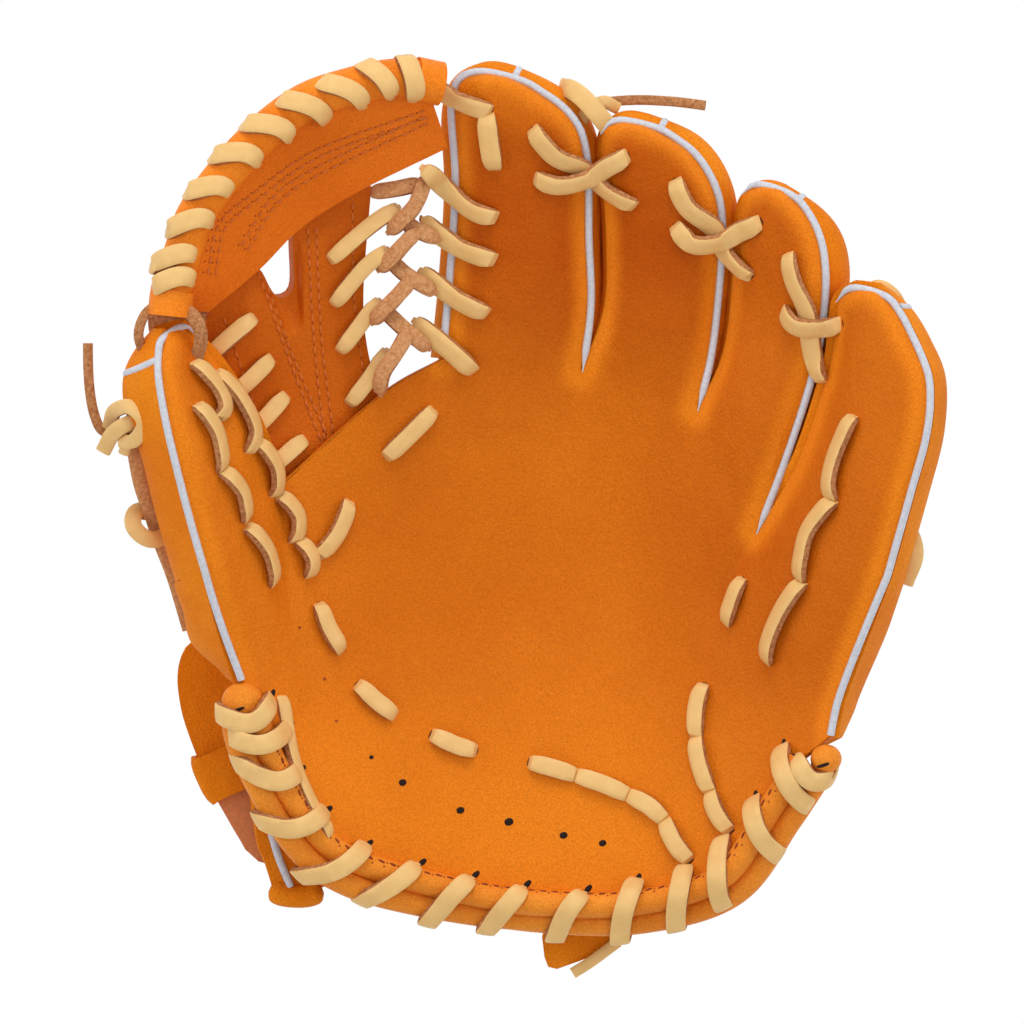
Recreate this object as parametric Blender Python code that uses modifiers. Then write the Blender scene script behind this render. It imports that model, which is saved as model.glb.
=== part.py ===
"""Left-hand baseball glove, lying on its back with the palm up.

Frame: +X to the pinky, +Y to the fingertips, +Z out of the palm. The origin lies on the flat
rest face of the hand back. Every size and place below is in millimetres; meshes are in metres.
"""
import math

import bmesh
import bpy
import numpy as np
from mathutils import Matrix, Vector
from mathutils.bvhtree import BVHTree

MM = 0.001

# Sheets
LEATHER = 2.8
LINING = 1.2
HEEL_PAD = 6.0
WEB_LEATHER = 4.0
STRAP_LEATHER = 3.0

# Cords, rolls and their clearances
GAP = 0.3
HINGE_GAP = 0.5
LACE_WIDTH = 6.4
LACE_THICK = 2.2
LACE_LIFT = 0.8
CROSSING_REACH = 15.0
CROSSING_FLAT = 6.5
WELT_CLEAR = 1.8
RUNG_LIFT = 1.15
WELT_DIAMETER = 2.4
WELT_RAISE = 0.4
WELT_GAP = 0.85
ROLL_DIAMETER = 7.4
ROLL_SPACING = 7.8
ROLL_SINK = 1.0
RIM_DIAMETER = 12.0
WIND_GAP = 0.45
BAND_GAP = 0.45
KNOT_CORD = 1.96
KNOT_SIZE = 2.0
TAIL_WIDTH = 3.2

# How often each lace goes round its roll, and the share of a roll left bare at each end
HEEL_TURNS = {"thumb_heel": 6, "heel": 4, "pinky_heel": 6}
HEEL_BARE_ENDS = 0.06
RIM_TURNS = 11
LOBE_RISE = 1.2

# Backs: seam edges under the front leather, rest plane, depths of the stalls and how far they swell
SEAM_INSET = 1.2
SEAM_DROP = 3.8
TIP_DROP = 3.0
KNUCKLE_HEIGHT = 0.0
REST_CLEAR = 1.0
REST_LEVEL = LEATHER + REST_CLEAR
FINGERTIP_DEPTH = 14.0
FINGERTIP_LIFT = 14.0
STALL_INNER_DEPTH = 34.0
STALL_OUTER_DEPTH = 36.0
PALM_PULL = 0.45
THUMB_BULGE = 30.0
PINKY_BULGE = 22.0

# A cubic whose two pulls are alike sinks by this share of them
CUBIC_SHARE = 0.75

# Crown of each stall above its seams, and where along the hand it starts and is full
FINGER_CROWN = 7.0
THUMB_CROWN = 5.0
PINKY_CROWN = 6.0
FINGER_RAMP = (0.38, 0.62)
SIDE_RAMP = (0.1, 0.5)

# Wrist strap, where its end starts to round, and the keeper with its clearances beside and above
STRAP_WIDTH = 18.0
STRAP_ROUND = 0.82
KEEPER_WIDTH = 13.0
KEEPER_LEATHER = 1.8
KEEPER_CLEAR = (2.0, 0.9)
KEEPER_SPOT = 0.72
KEEPER_SQUARE = 0.35

# Mesh density: cells along the palm, along a stall, across a stall, round a stall's back
PALM_CELLS = 8
STALL_CELLS = 9
CROSS_CELLS = 4
WIDE_CELLS = 6
BACK_CELLS = 7
LOOP_POINTS = 18
HEEL_POINTS = 121
RIM_POINTS = 61
STRAP_CELLS = 18
TAIL_POINTS = 10

# Heights for search rays: above everything, and near the front
HIGH_ABOVE = 300.0
NEAR_FRONT = 60.0

# Fold axes on the front surface
THUMB_AXIS = ((-30.0, -112.0, 38.0), (-17.0, 150.0, 64.0))
PINKY_AXIS = ((34.0, -118.0, 38.0), (99.0, 85.0, 66.0))
STRAP_AXIS = ((12.0, -120.0, 0.0), (12.0, -100.0, 0.0))

# Height of the front surface at chosen places: heel, pocket, thumb, fingers, pinky
SURFACE = (
    (-26, -110, 36), (8, -113, 34), (38, -110, 36), (-58, -88, 47), (68, -98, 46),
    (-75, -58, 55), (88, -76, 55), (-87, -45, 63), (102, -62, 63),
    (0, -78, 32), (0, -40, 30), (0, 0, 31), (35, -60, 33), (32, 0, 33),
    (-38, -60, 36), (-42, -15, 37), (-48, 22, 44), (-22, 58, 47),
    (-66, -55, 47), (-71, -15, 51), (-74, 17, 54),
    (-98, -9, 76), (-106, 23, 84), (-112, 52, 86), (-110, 67, 83),
    (-81, 35, 64), (-94, 57, 73), (-104, 66, 78),
    (22, 54, 42), (59, 42, 44), (78, 2, 48), (-19, 100, 53), (2, 95, 53), (-7, 150, 70),
    (46, 90, 53), (38, 134, 67), (84, 65, 55), (82, 114, 68),
    (76, -45, 44), (92, 0, 57), (104, 60, 69), (113, 82, 80),
    (112, -30, 71), (120, -11, 77), (127, 15, 83), (132, 40, 87), (124, 74, 84),
)

# Middle of the rolled heel edge, from the thumb side round to the pinky side
HEEL_LINE = (
    (-85.5, -55), (-82.5, -67), (-68, -93), (-53, -108), (-23, -120),
    (9, -123), (41, -120), (70, -111), (89, -90), (98.5, -73),
)

# Seam lines from the heel to a crotch, then from the crotch over the fingertip
THUMB_OUTER = ((-86.7, -44.5), (-92, -30), (-98, -9))
THUMB_OUTER_TIP = ((-98, -9), (-102.4, 6.4), (-106.6, 23), (-110.4, 40), (-112.5, 56), (-110.4, 67))
THUMB_INNER = ((-58, -86), (-67, -50), (-72, -15), (-74, 17))
THUMB_INNER_TIP = ((-74, 17), (-81, 35), (-87, 46), (-94.4, 57), (-101, 64), (-106, 68.5))
WEB_CROTCH = ((-74, 17), (-42, 46), (-21.7, 58))
INDEX_LEFT_TIP = ((-21.7, 58), (-19.2, 83), (-17.3, 114), (-18.6, 137), (-16.5, 148), (-8, 151))
INDEX_MIDDLE = ((3, -112), (7, -60), (12, 0), (22, 54))
INDEX_RIGHT_TIP = ((22, 54), (24.5, 75), (23.8, 97), (23.4, 121), (19.5, 134), (9.3, 143.4), (-1, 149.5))
MIDDLE_LEFT_TIP = ((22, 54), (29.5, 75), (30, 100), (28.5, 120), (29.5, 132), (35, 135.5))
MIDDLE_RING = ((20, -112), (34, -60), (47, 0), (59, 41.5))
MIDDLE_RIGHT_TIP = ((59, 41.5), (63.5, 62), (66.5, 95), (65, 111), (57.6, 123.5), (48, 131), (42, 134))
RING_LEFT_TIP = ((59, 41.5), (68, 62), (71.5, 95), (73, 108), (75.5, 113.5), (80, 116))
RING_RIGHT_TIP = ((78, 2.2), (86.5, 25), (96, 55), (99.5, 78), (98.5, 94), (94, 105), (86, 114.5))
PINKY_LEFT_TIP = ((78, 2.2), (91.5, 25), (101.5, 55), (103.5, 70), (105, 79), (111, 82.5))
PINKY_OUTER = ((102, -62.4), (104.6, -50.6), (112, -30.4), (119.7, -10.9))
PINKY_OUTER_TIP = (
    (119.7, -10.9), (127, 15.4), (132.2, 35), (132.8, 51), (128.5, 63), (123, 75), (117, 81.5),
)

# Parting line of ring and pinky between the heel and the crotch, on the pinky fold
PINKY_PARTING = ((52.6, -60.0), (64.8, -22.0))

# Inner edges of the thumb and pinky backs, along the folds near the rest plane
THUMB_FOLD_LINE = (
    (-33, -92, REST_LEVEL), (-29.5, -50, REST_LEVEL), (-27, 0, REST_LEVEL),
    (-38, 15, 12), (-56, 13, 24), (-72, 11, 38),
)
PINKY_FOLD_LINE = (
    (44.5, -92, REST_LEVEL), (59, -48, REST_LEVEL), (71, -12, REST_LEVEL + 2), (79.5, 1, 30),
)

# Web: middle of the rim, lower edge of the band, outline of the post, and heights
RIM_LINE = (
    (-109.5, 71.6, 81), (-108.5, 80, 81), (-105, 93, 82), (-100, 106, 83), (-85, 125, 84),
    (-68, 139, 83), (-52, 145, 81), (-36, 148, 78), (-22.8, 146, 74.5),
)
BAND_EDGE = ((-97, 73), (-80.6, 86.7), (-67.8, 99.5), (-50, 111), (-24, 123))
POST_LEFT = ((-65, 21), (-76, 36), (-83, 48), (-91, 66))
POST_RIGHT = ((-41, 41), (-47, 60), (-48.6, 77), (-47, 106))
POST_TOP = ((-91, 66), (-81, 80), (-76, 78), (-71, 80), (-70, 92), (-60, 99.5), (-47, 106))
POST_FOOT = ((-65, 21), (-54, 30), (-41, 41))
WEB_SURFACE = (
    (-100, 80, 78), (-92, 105, 81), (-78, 122, 82), (-60, 134, 80.5), (-40, 138, 77), (-25, 136, 73),
    (-97, 73, 71), (-80, 86, 68), (-66, 99, 67), (-50, 110, 66), (-24, 123, 66),
    (-65, 21, 46.2), (-54, 30, 43.4), (-41, 41, 41.3), (-83, 48, 56), (-48, 76, 53), (-91, 66, 66),
)

# Laces that lie on the front, each by its middle line
SURFACE_LACES = {
    "index_tip_lace": ("palm", ((-15, 144.5), (-9, 138), (-6, 128), (-5.5, 119))),
    "index_middle_lace_a": ("palm", ((9.6, 130), (16, 126), (22, 120.5), (31, 113), (39.4, 107.5))),
    "index_middle_lace_b": ("palm", ((9, 116), (16, 115), (22.5, 114.5), (30, 118.5), (36.8, 123))),
    "middle_ring_lace_a": ("palm", ((51.8, 115), (58, 108), (64.3, 100.5), (71, 92), (76.8, 85))),
    "middle_ring_lace_b": ("palm", ((52.5, 100.5), (58, 96.5), (64, 94.5), (71, 97.5), (79.4, 100.5))),
    "pocket_lace_heel": ("palm", ((-25.6, -62.4), (-11.8, -67.5), (5.8, -71.4), (20.5, -75.5), (38, -82))),
    "pocket_lace_1": ("thumb_side", ((-40.3, 27), (-33, 34), (-26.5, 40))),
    "pocket_lace_2": ("thumb_side", ((-62, -4.5), (-57, 3), (-52.5, 12))),
    "pocket_lace_3": ("thumb_side", ((-62, -20.8), (-59.5, -28), (-55, -35.2))),
    "pocket_lace_4": ("thumb_side", ((-49.3, -46.4), (-44, -51.5), (-38, -56))),
    "thumb_lace_outer": ("thumb_side", ((-101.5, 43.5), (-96, 32), (-93, 22.5), (-88, 12), (-85, 6),
                                        (-81, -4), (-76.8, -13.8))),
    "thumb_lace_inner": ("thumb_side", ((-103, 60), (-97, 48), (-89, 36), (-82.5, 27), (-78, 15), (-72, 6),
                                        (-67, -4), (-64.3, -11))),
    "pinky_lace": ("pinky_side", ((110, 39.4), (108, 25), (104, 12.8), (99.5, -1), (93.5, -12.8), (88, -26),
                                  (82, -38.4))),
    "pocket_lace_pinky": ("pinky_side", ((61.5, -46.4), (60, -54), (59.5, -62), (62, -72), (65, -81),
                                         (69.5, -92))),
}

# Laces that cross from the web to the index finger: index end, index edge, post edge, post end
WEB_INDEX_RUNGS = (
    ((-6, 104), (-17, 112), (-29, 119), (-40, 105), (-49, 98), (-57, 91)),
    ((-6.5, 89.5), (-16, 96), (-28, 102), (-38, 93), (-48, 85), (-56, 77)),
    ((-9, 73), (-18, 80), (-29, 86), (-39, 77), (-47, 69), (-54, 61.5)),
    ((-13, 55.5), (-20, 62), (-31, 69), (-40, 59), (-46, 52), (-51.5, 45)),
)
WEB_THUMB_RUNGS = (
    ((-83, 70), (-88, 64)), ((-78, 57.3), (-82.5, 51.5)),
    ((-73, 44.5), (-76.5, 39.5)), ((-65.5, 35), (-68.5, 31)),
)

# Crossed laces between ring and pinky run over the pinky fold
RING_PINKY_LACES = {
    "ring_pinky_lace_a": ((88.6, 92.5), (92, 84), (95.5, 76.5), (98.5, 66), (99.8, 54.5)),
    "ring_pinky_lace_b": ((87, 77.5), (91, 72.5), (96, 70), (101, 70), (105.3, 70.5)),
}

# Where the upper lace of each crossed pair passes over the lower
CROSSINGS = {
    "index_middle_lace_b": (26, 117), "middle_ring_lace_b": (68, 96), "ring_pinky_lace_b": (97, 70),
}

# Knots and free tails
FINGERTIP_KNOT = (22.7, 140.1, 61.5)
THUMB_KNOT = (-126, 35.5, 62)
FINGERTIP_TAIL = (
    (21, 140.5, 55.7), (30, 142.5, 55.7), (40, 143, 56), (50, 142, 57), (56, 141, 58), (62, 140, 59),
)
THUMB_TAIL = (
    (-126, 35, 56.2), (-131, 35, 56.2), (-133.6, 40, 57),
    (-135, 47, 58), (-135.6, 55, 59), (-135.7, 63, 60),
)
THUMB_EDGE_LACE = (
    (-121.5, 27, 57), (-119, 18, 53), (-115.5, 8, 48),
    (-113, 0, 44), (-109, -12, 38), (-104.5, -26, 32),
)

# Back of the hand: outline from the wrist up to the finger backs, with a leg on the pinky side
HAND_BACK = (
    (-27.5, -45), (-22.5, 56), (21, 52), (58, 39.5), (72, 1), (56.5, -48),
    (34.5, -116), (30, -131), (19, -135.5), (13, -131), (13, -60), (2, -47),
)
STRAP_LINE = (
    (12.3, -110, 0), (-20, -111, 0), (-50, -107, 1), (-74, -97, 3),
    (-90, -80, 6), (-97, -62, 9), (-100, -44, 12),
)

COLOURS = {
    "leather": ((0.72, 0.22, 0.035, 1), 0.45), "lining": ((0.62, 0.30, 0.10, 1), 0.7),
    "felt": ((0.75, 0.70, 0.60, 1), 0.9), "lace": ((0.80, 0.56, 0.22, 1), 0.5),
    "suede": ((0.45, 0.22, 0.09, 1), 0.9), "welt": ((0.60, 0.61, 0.65, 1), 0.5),
}


def clear_scene():
    for obj in list(bpy.data.objects):
        bpy.data.objects.remove(obj, do_unlink=True)


def collection(name):
    made = bpy.data.collections.new(name)
    bpy.context.scene.collection.children.link(made)
    return made


def material(name):
    colour, roughness = COLOURS[name]
    made = bpy.data.materials.get(name) or bpy.data.materials.new(name)
    made.use_nodes = True
    shader = made.node_tree.nodes["Principled BSDF"]
    shader.inputs["Base Color"].default_value = colour
    shader.inputs["Roughness"].default_value = roughness
    shader.inputs["Metallic"].default_value = 0.0
    return made


def through(points, count):
    """Smooth curve through the points, sampled at even steps."""
    pts = np.array(points, float)
    ends = np.vstack([2 * pts[0] - pts[1], pts, 2 * pts[-1] - pts[-2]])
    steps = np.linspace(0, 1, 16, endpoint=False)[:, None]
    pieces = []
    for a, b, c, d in zip(ends, ends[1:], ends[2:], ends[3:]):
        bend = (2 * a - 5 * b + 4 * c - d) * steps ** 2 + (3 * b - a - 3 * c + d) * steps ** 3
        pieces.append(0.5 * (2 * b + (c - a) * steps + bend))
    dense = np.vstack(pieces + [pts[-1:]])
    arc = np.concatenate([[0], np.cumsum(np.linalg.norm(np.diff(dense, axis=0), axis=1))])
    wanted = np.linspace(0, arc[-1], int(count))
    return np.stack([np.interp(wanted, arc, dense[:, k]) for k in range(pts.shape[1])], axis=1)


def thin_plate(points):
    """Smooth height over the plane through points of x, y and height."""
    pts = np.array(points, float)
    scale = 100.0

    def kernel(distance2):
        return distance2 * np.log(distance2 + 1e-12)

    def spread(xy, centres):
        return ((xy[:, None, :] - centres[None]) ** 2).sum(2)

    centres = pts[:, :2] / scale
    count = len(pts)
    plane = np.hstack([np.ones((count, 1)), centres])
    system = np.block([[kernel(spread(centres, centres)), plane], [plane.T, np.zeros((3, 3))]])
    weights = np.linalg.solve(system, np.concatenate([pts[:, 2], np.zeros(3)]))

    def height(xy):
        flat = np.asarray(xy, float).reshape(-1, 2) / scale
        values = kernel(spread(flat, centres)) @ weights[:count]
        values += np.hstack([np.ones((len(flat), 1)), flat]) @ weights[count:]
        return values.reshape(np.shape(xy)[:-1])

    return height


FRONT_HEIGHT = thin_plate(SURFACE)
WEB_HEIGHT = thin_plate(WEB_SURFACE)


def coons(left, right, bottom, top):
    """Flat patch between four edges that meet at its corners."""
    t = np.linspace(0, 1, len(left))[:, None, None]
    s = np.linspace(0, 1, len(bottom))[None, :, None]
    ruled = (1 - s) * left[:, None] + s * right[:, None]
    lofted = (1 - t) * bottom[None] + t * top[None]
    corners = (1 - t) * ((1 - s) * left[0] + s * right[0]) + t * ((1 - s) * left[-1] + s * right[-1])
    return ruled + lofted - corners


def smoothstep(low, high, value):
    part = np.clip((value - low) / (high - low), 0, 1)
    return part * part * (3 - 2 * part)


def heel_edge():
    """Lower edge of the front leather: the roll line moved in by the roll, its lace and gaps."""
    setback = winding_radii()[0] + LACE_THICK + WIND_GAP
    line = through(HEEL_LINE, 60)
    along = np.gradient(line, axis=0)
    inward = np.stack([-along[:, 1], along[:, 0]], axis=1)
    inward /= np.linalg.norm(inward, axis=1)[:, None]
    moved = (line + setback * inward)[1:-1]
    return np.vstack([THUMB_OUTER[:1], moved, PINKY_OUTER[:1]])


def winding_radii():
    """Half width and half height of the heel lace's inner face, round both rolls."""
    across = ROLL_SPACING / 2 + ROLL_DIAMETER / 2 + WIND_GAP
    upright = ROLL_DIAMETER / 2 + LOBE_RISE + WIND_GAP
    return across, upright


def heel_part(edge, start, end, cells):
    """Stretch of the heel edge between two of its points, in that many cells."""
    first = np.argmin(np.linalg.norm(edge - np.array(start), axis=1))
    last = np.argmin(np.linalg.norm(edge - np.array(end), axis=1))
    middle = edge[first + 1:last]
    stretch = np.vstack([[start], middle, [end]])
    return through(stretch, cells + 1)


def on_heel(edge, axis):
    """Point where the heel edge meets a fold axis."""
    a, b = np.array(axis[0][:2]), np.array(axis[1][:2])
    along = (b - a) / np.linalg.norm(b - a)
    off = (edge - a) @ np.array([along[1], -along[0]])
    return a + along * ((edge[np.argmin(np.abs(off))] - a) @ along)


def seam(palm_line, tip_line):
    """Seam from the heel to the crotch and on over the fingertip."""
    lower = through(palm_line, PALM_CELLS + 1)
    upper = through(tip_line, STALL_CELLS + 1)
    return np.vstack([lower, upper[1:]])


def crowned(plan, height, crown, start, end):
    """Raise a flat patch to the surface, with a crown across it that grows towards the tip."""
    rows, columns = plan.shape[:2]
    rise = smoothstep(start, end, np.linspace(0, 1, rows))[:, None]
    across = 1 - (2 * np.linspace(0, 1, columns)[None] - 1) ** 2
    z = height(plan) + crown * rise * across
    return np.dstack([plan, z])


def front_patches():
    """The six patches of the front leather as grids of points, rows from heel to tip."""
    edge = heel_edge()
    thumb_fold = on_heel(edge, THUMB_AXIS)
    pinky_fold = on_heel(edge, PINKY_AXIS)
    back_off = np.array([HINGE_GAP, 0.0])
    thumb_corner = edge[np.argmin(np.linalg.norm(edge - np.array(THUMB_INNER[0]), axis=1))]
    starts = {"index_middle": edge[np.argmin(np.abs(edge[:, 0] - INDEX_MIDDLE[0][0]))],
              "middle_ring": edge[np.argmin(np.abs(edge[:, 0] - MIDDLE_RING[0][0]))]}
    thumb_side_fold = (thumb_fold - back_off, np.array(WEB_CROTCH[-1]) - back_off)
    ring_pinky = (pinky_fold, *PINKY_PARTING, RING_RIGHT_TIP[0])
    pinky_ring = tuple(np.array(p) + back_off for p in ring_pinky)
    inner = (thumb_corner,) + THUMB_INNER[1:]
    index_middle = (starts["index_middle"],) + INDEX_MIDDLE[1:]
    middle_ring = (starts["middle_ring"],) + MIDDLE_RING[1:]
    seams = {
        "thumb": (seam(THUMB_OUTER, THUMB_OUTER_TIP), seam(inner, THUMB_INNER_TIP)),
        "triangle": (through(inner, PALM_CELLS + 1), through(thumb_side_fold, PALM_CELLS + 1)),
        "index": (seam((thumb_fold, WEB_CROTCH[-1]), INDEX_LEFT_TIP), seam(index_middle, INDEX_RIGHT_TIP)),
        "middle": (seam(index_middle, MIDDLE_LEFT_TIP), seam(middle_ring, MIDDLE_RIGHT_TIP)),
        "ring": (seam(middle_ring, RING_LEFT_TIP), seam(ring_pinky, RING_RIGHT_TIP)),
        "pinky": (seam(pinky_ring, (pinky_ring[-1],) + PINKY_LEFT_TIP[1:]),
                  seam(PINKY_OUTER, PINKY_OUTER_TIP)),
    }
    crowns = {"thumb": (THUMB_CROWN, *SIDE_RAMP), "triangle": (0.0, 0, 1),
              "pinky": (PINKY_CROWN, *SIDE_RAMP)}
    patches = {}
    for name, (left, right) in seams.items():
        cells = WIDE_CELLS if name in ("thumb", "triangle", "pinky") else CROSS_CELLS
        bottom = heel_part(edge, left[0], right[0], cells)
        top = through((left[-1], right[-1]), cells + 1)
        if name == "triangle":
            top = through(WEB_CROTCH[:-1] + (tuple(right[-1]),), cells + 1)
        crown, start, end = crowns.get(name, (FINGER_CROWN, *FINGER_RAMP))
        patches[name] = crowned(coons(left, right, bottom, top), FRONT_HEIGHT, crown, start, end)
    return patches


def grid_normals(grid):
    along_rows = np.gradient(grid, axis=0)
    along_columns = np.gradient(grid, axis=1)
    normal = np.cross(along_columns, along_rows)
    return normal / np.linalg.norm(normal, axis=2)[:, :, None]


def add_grid(bm, grid):
    """Add a grid of points to a mesh, columns along X and rows along Y, facing up."""
    rows, columns = grid.shape[:2]
    made = bmesh.ops.create_grid(bm, x_segments=columns - 1, y_segments=rows - 1, size=1.0)
    for vert in made["verts"]:
        column = round((vert.co.x + 1) / 2 * (columns - 1))
        row = round((vert.co.y + 1) / 2 * (rows - 1))
        vert.co = Vector(grid[row, column]) * MM


def sheet_mesh(name, grids):
    """One open surface from grids that share edges."""
    bm = bmesh.new()
    for grid in grids:
        add_grid(bm, grid)
    bmesh.ops.remove_doubles(bm, verts=bm.verts[:], dist=0.00002)
    mesh = bpy.data.meshes.new(name)
    bm.to_mesh(mesh)
    bm.free()
    mesh.shade_smooth()
    return mesh


def add_object(name, data, look, body):
    obj = bpy.data.objects.new(name, data)
    PARTS.objects.link(obj)
    data.materials.append(material(look))
    hinge = HINGES.get(body)
    if hinge:
        obj.parent = hinge
        obj.matrix_parent_inverse = hinge.matrix_world.inverted()
    return obj


def solid_sheet(name, grids, thickness, look, body, depth=0.0, grow=-1.0):
    """A sheet of even thickness whose top lies a depth below the given surface."""
    obj = add_object(name, sheet_mesh(name, grids), look, body)
    if depth:
        sink = obj.modifiers.new("sink", "DISPLACE")
        sink.strength = -depth * MM
        sink.mid_level = 0.0
    thick = obj.modifiers.new("thickness", "SOLIDIFY")
    thick.thickness = thickness * MM
    thick.offset = grow
    thick.use_even_offset = True
    return obj


def tube(name, points, diameter, look, body, closed=False, sides=2):
    """Round cord along the points, with closed ends unless it is a ring."""
    curve = bpy.data.curves.new(name, "CURVE")
    curve.dimensions = "3D"
    curve.bevel_depth = diameter / 2 * MM
    curve.bevel_resolution = sides
    curve.use_fill_caps = not closed
    spline = curve.splines.new("POLY")
    spline.points.add(len(points) - 1)
    for point, place in zip(spline.points, points):
        point.co = (*(np.array(place) * MM), 1.0)
    spline.use_cyclic_u = closed
    return add_object(name, curve, look, body)


def ribbon(name, middle, normals, look, body, width=LACE_WIDTH, thick=LACE_THICK):
    """Flat lace whose underside follows the middle line, square to the normals."""
    along = np.gradient(middle, axis=0)
    across = np.cross(along, normals)
    across /= np.linalg.norm(across, axis=1)[:, None]
    grid = np.stack([middle - across * width / 2, middle + across * width / 2], axis=1)
    return solid_sheet(name, [grid], thick, look, body, grow=1.0)


def surface_tree(meshes):
    """Search tree over open surfaces, in millimetres."""
    verts, faces = [], []
    for mesh in meshes:
        start = len(verts)
        verts += [v.co / MM for v in mesh.vertices]
        faces += [[start + i for i in p.vertices] for p in mesh.polygons]
    return BVHTree.FromPolygons(verts, faces)


def height_on(tree, spot):
    """Height of a surface at a place, or of its nearest point where the place is off the surface."""
    hit = tree.ray_cast(Vector((*spot, HIGH_ABOVE)), Vector((0, 0, -1)))[0]
    if hit is None:
        level = tree.find_nearest(Vector((*spot, NEAR_FRONT)))[0].z
        hit = tree.find_nearest(Vector((*spot, level)))[0]
    return hit.z


def drape(tree, line, lift, crossing=None, step=3.0):
    """Points of a flat line dropped on a surface and lifted clear of it, with their normals."""
    length = np.linalg.norm(np.diff(np.array(line, float), axis=0), axis=1).sum()
    flat = through(line, max(4, int(length / step) + 1))
    along = np.gradient(flat, axis=0)
    across = np.stack([along[:, 1], -along[:, 0]], axis=1)
    across /= np.linalg.norm(across, axis=1)[:, None]
    offsets = np.linspace(-LACE_WIDTH / 2, LACE_WIDTH / 2, 5)
    middle, normals = [], []
    for spot, side in zip(flat, across):
        heights = np.array([height_on(tree, spot + side * off) for off in offsets])
        slope = (heights[-1] - heights[0]) / LACE_WIDTH
        rise = (heights - slope * offsets).max() + lift * math.hypot(1, slope)
        if crossing:
            near = smoothstep(CROSSING_REACH, CROSSING_FLAT, np.linalg.norm(spot - np.array(crossing)))
            rise += near * (LACE_THICK + LACE_LIFT)
        middle.append((*spot, rise))
        normals.append(np.array([-side[0] * slope, -side[1] * slope, 1]) / math.hypot(1, slope))
    middle = np.array(middle)
    middle[1:-1, 2] = np.maximum(middle[1:-1, 2], (middle[:-2, 2] + middle[2:, 2]) / 2)
    return middle, np.array(normals)


def winding(name, line, loops, radii, body):
    """Lace wound round a rod in one unbroken run; prints its least gap to itself."""
    turns = np.linspace(0, 1, loops * LOOP_POINTS + 1)
    path = through(line, 200)
    spots = np.linspace(0, 1, len(path))
    along = np.gradient(path, axis=0)
    side = np.cross(along, (0, 0, 1))
    side /= np.linalg.norm(side, axis=1)[:, None]
    up = np.cross(side, along)
    up /= np.linalg.norm(up, axis=1)[:, None]
    centre, side, up = (np.stack([np.interp(turns, spots, track[:, k]) for k in range(3)], 1)
                        for track in (path, side, up))
    phase = turns * loops * 2 * math.pi - math.pi / 2
    cos, sin = np.cos(phase)[:, None], np.sin(phase)[:, None]
    inner = centre + radii[0] * cos * side + radii[1] * sin * up
    normals = cos / radii[0] * side + sin / radii[1] * up
    normals /= np.linalg.norm(normals, axis=1)[:, None]
    apart = np.linalg.norm(inner[:, None] - inner[None], axis=2)
    steps = np.abs(np.subtract.outer(np.arange(len(inner)), np.arange(len(inner))))
    least = apart[steps > LOOP_POINTS // 2].min() - LACE_WIDTH
    print(f"{name}: least gap to itself {least:.2f} mm")
    return ribbon(name, inner, normals, "lace", body)


def bezier_rows(inner, inner_pull, outer_pull, outer):
    """Grid of cross sections, each a cubic from the inner to the outer edge."""
    s = np.linspace(0, 1, BACK_CELLS + 1)[None, :, None]
    a, b, c, d = (edge[:, None] for edge in (inner, inner_pull, outer_pull, outer))
    return (1 - s) ** 3 * a + 3 * s * (1 - s) ** 2 * b + 3 * s ** 2 * (1 - s) * c + s ** 3 * d


def back_edges(patch, first_row):
    """Seam edges for a back: under the front leather and a little inside its edges."""
    normals = grid_normals(patch)
    sunk = patch - SEAM_DROP * normals
    left, right = sunk[first_row:, 0], sunk[first_row:, -1]
    span = right - left
    span /= np.linalg.norm(span, axis=1)[:, None]
    return left + SEAM_INSET * span, right - SEAM_INSET * span


def finger_back(name, patch):
    """Back of a finger: a trough hung under the seams, closing in at the tip."""
    left, right = back_edges(patch, PALM_CELLS)
    u = np.linspace(0, 1, len(left))
    tip_bottom = (left[-1, 2] + right[-1, 2]) / 2 - FINGERTIP_DEPTH
    bottom = KNUCKLE_HEIGHT + (tip_bottom - FINGERTIP_LIFT - KNUCKLE_HEIGHT) * smoothstep(0, 1.0, u)
    bottom += FINGERTIP_LIFT * u ** 6
    drop = ((left[:, 2] + right[:, 2]) / 2 - bottom) / CUBIC_SHARE
    pull = np.stack([np.zeros_like(drop), np.zeros_like(drop), -drop], axis=1)
    rows = bezier_rows(left, left + pull, right + pull, right)
    return solid_sheet(name, [rows[:, ::-1]], LEATHER, "leather", "palm")


def side_back(name, patch, outer_on_left, fold_line, bulge, body):
    """Back of the thumb or pinky side: from the fold line on the rest plane round to the outer seam."""
    left, right = back_edges(patch, 0)
    for edge in (left, right):
        edge[-2:, 2] -= TIP_DROP
    outer, stall_inner = (left, right) if outer_on_left else (right, left)
    lower = through(fold_line, PALM_CELLS + 1)
    inner = np.vstack([lower, stall_inner[PALM_CELLS + 1:]])
    rows = np.arange(len(inner))
    stall = smoothstep(PALM_CELLS - 3, PALM_CELLS + 1, rows)[:, None]
    out = outer - inner
    out[:, 2] = 0
    reach = np.linalg.norm(out, axis=1)[:, None]
    out /= reach
    taper = np.sqrt(np.clip(1 - (rows / (len(rows) - 1)) ** 6, 0.02, 1))[:, None]
    down = np.array([0, 0, -1.0])
    flat_pull = inner + PALM_PULL * reach * out
    stall_pull = inner + STALL_INNER_DEPTH * taper * down
    inner_pull = (1 - stall) * flat_pull + stall * stall_pull
    fall = (1 - stall) * CUBIC_SHARE * (outer[:, 2:] - inner[:, 2:]) + stall * STALL_OUTER_DEPTH * taper
    outer_pull = outer + bulge * taper * out + fall * down
    grid = bezier_rows(inner, inner_pull, outer_pull, outer)
    if not outer_on_left:
        grid = grid[:, ::-1]
    return solid_sheet(name, [grid], LEATHER, "leather", body, grow=1.0)


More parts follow.
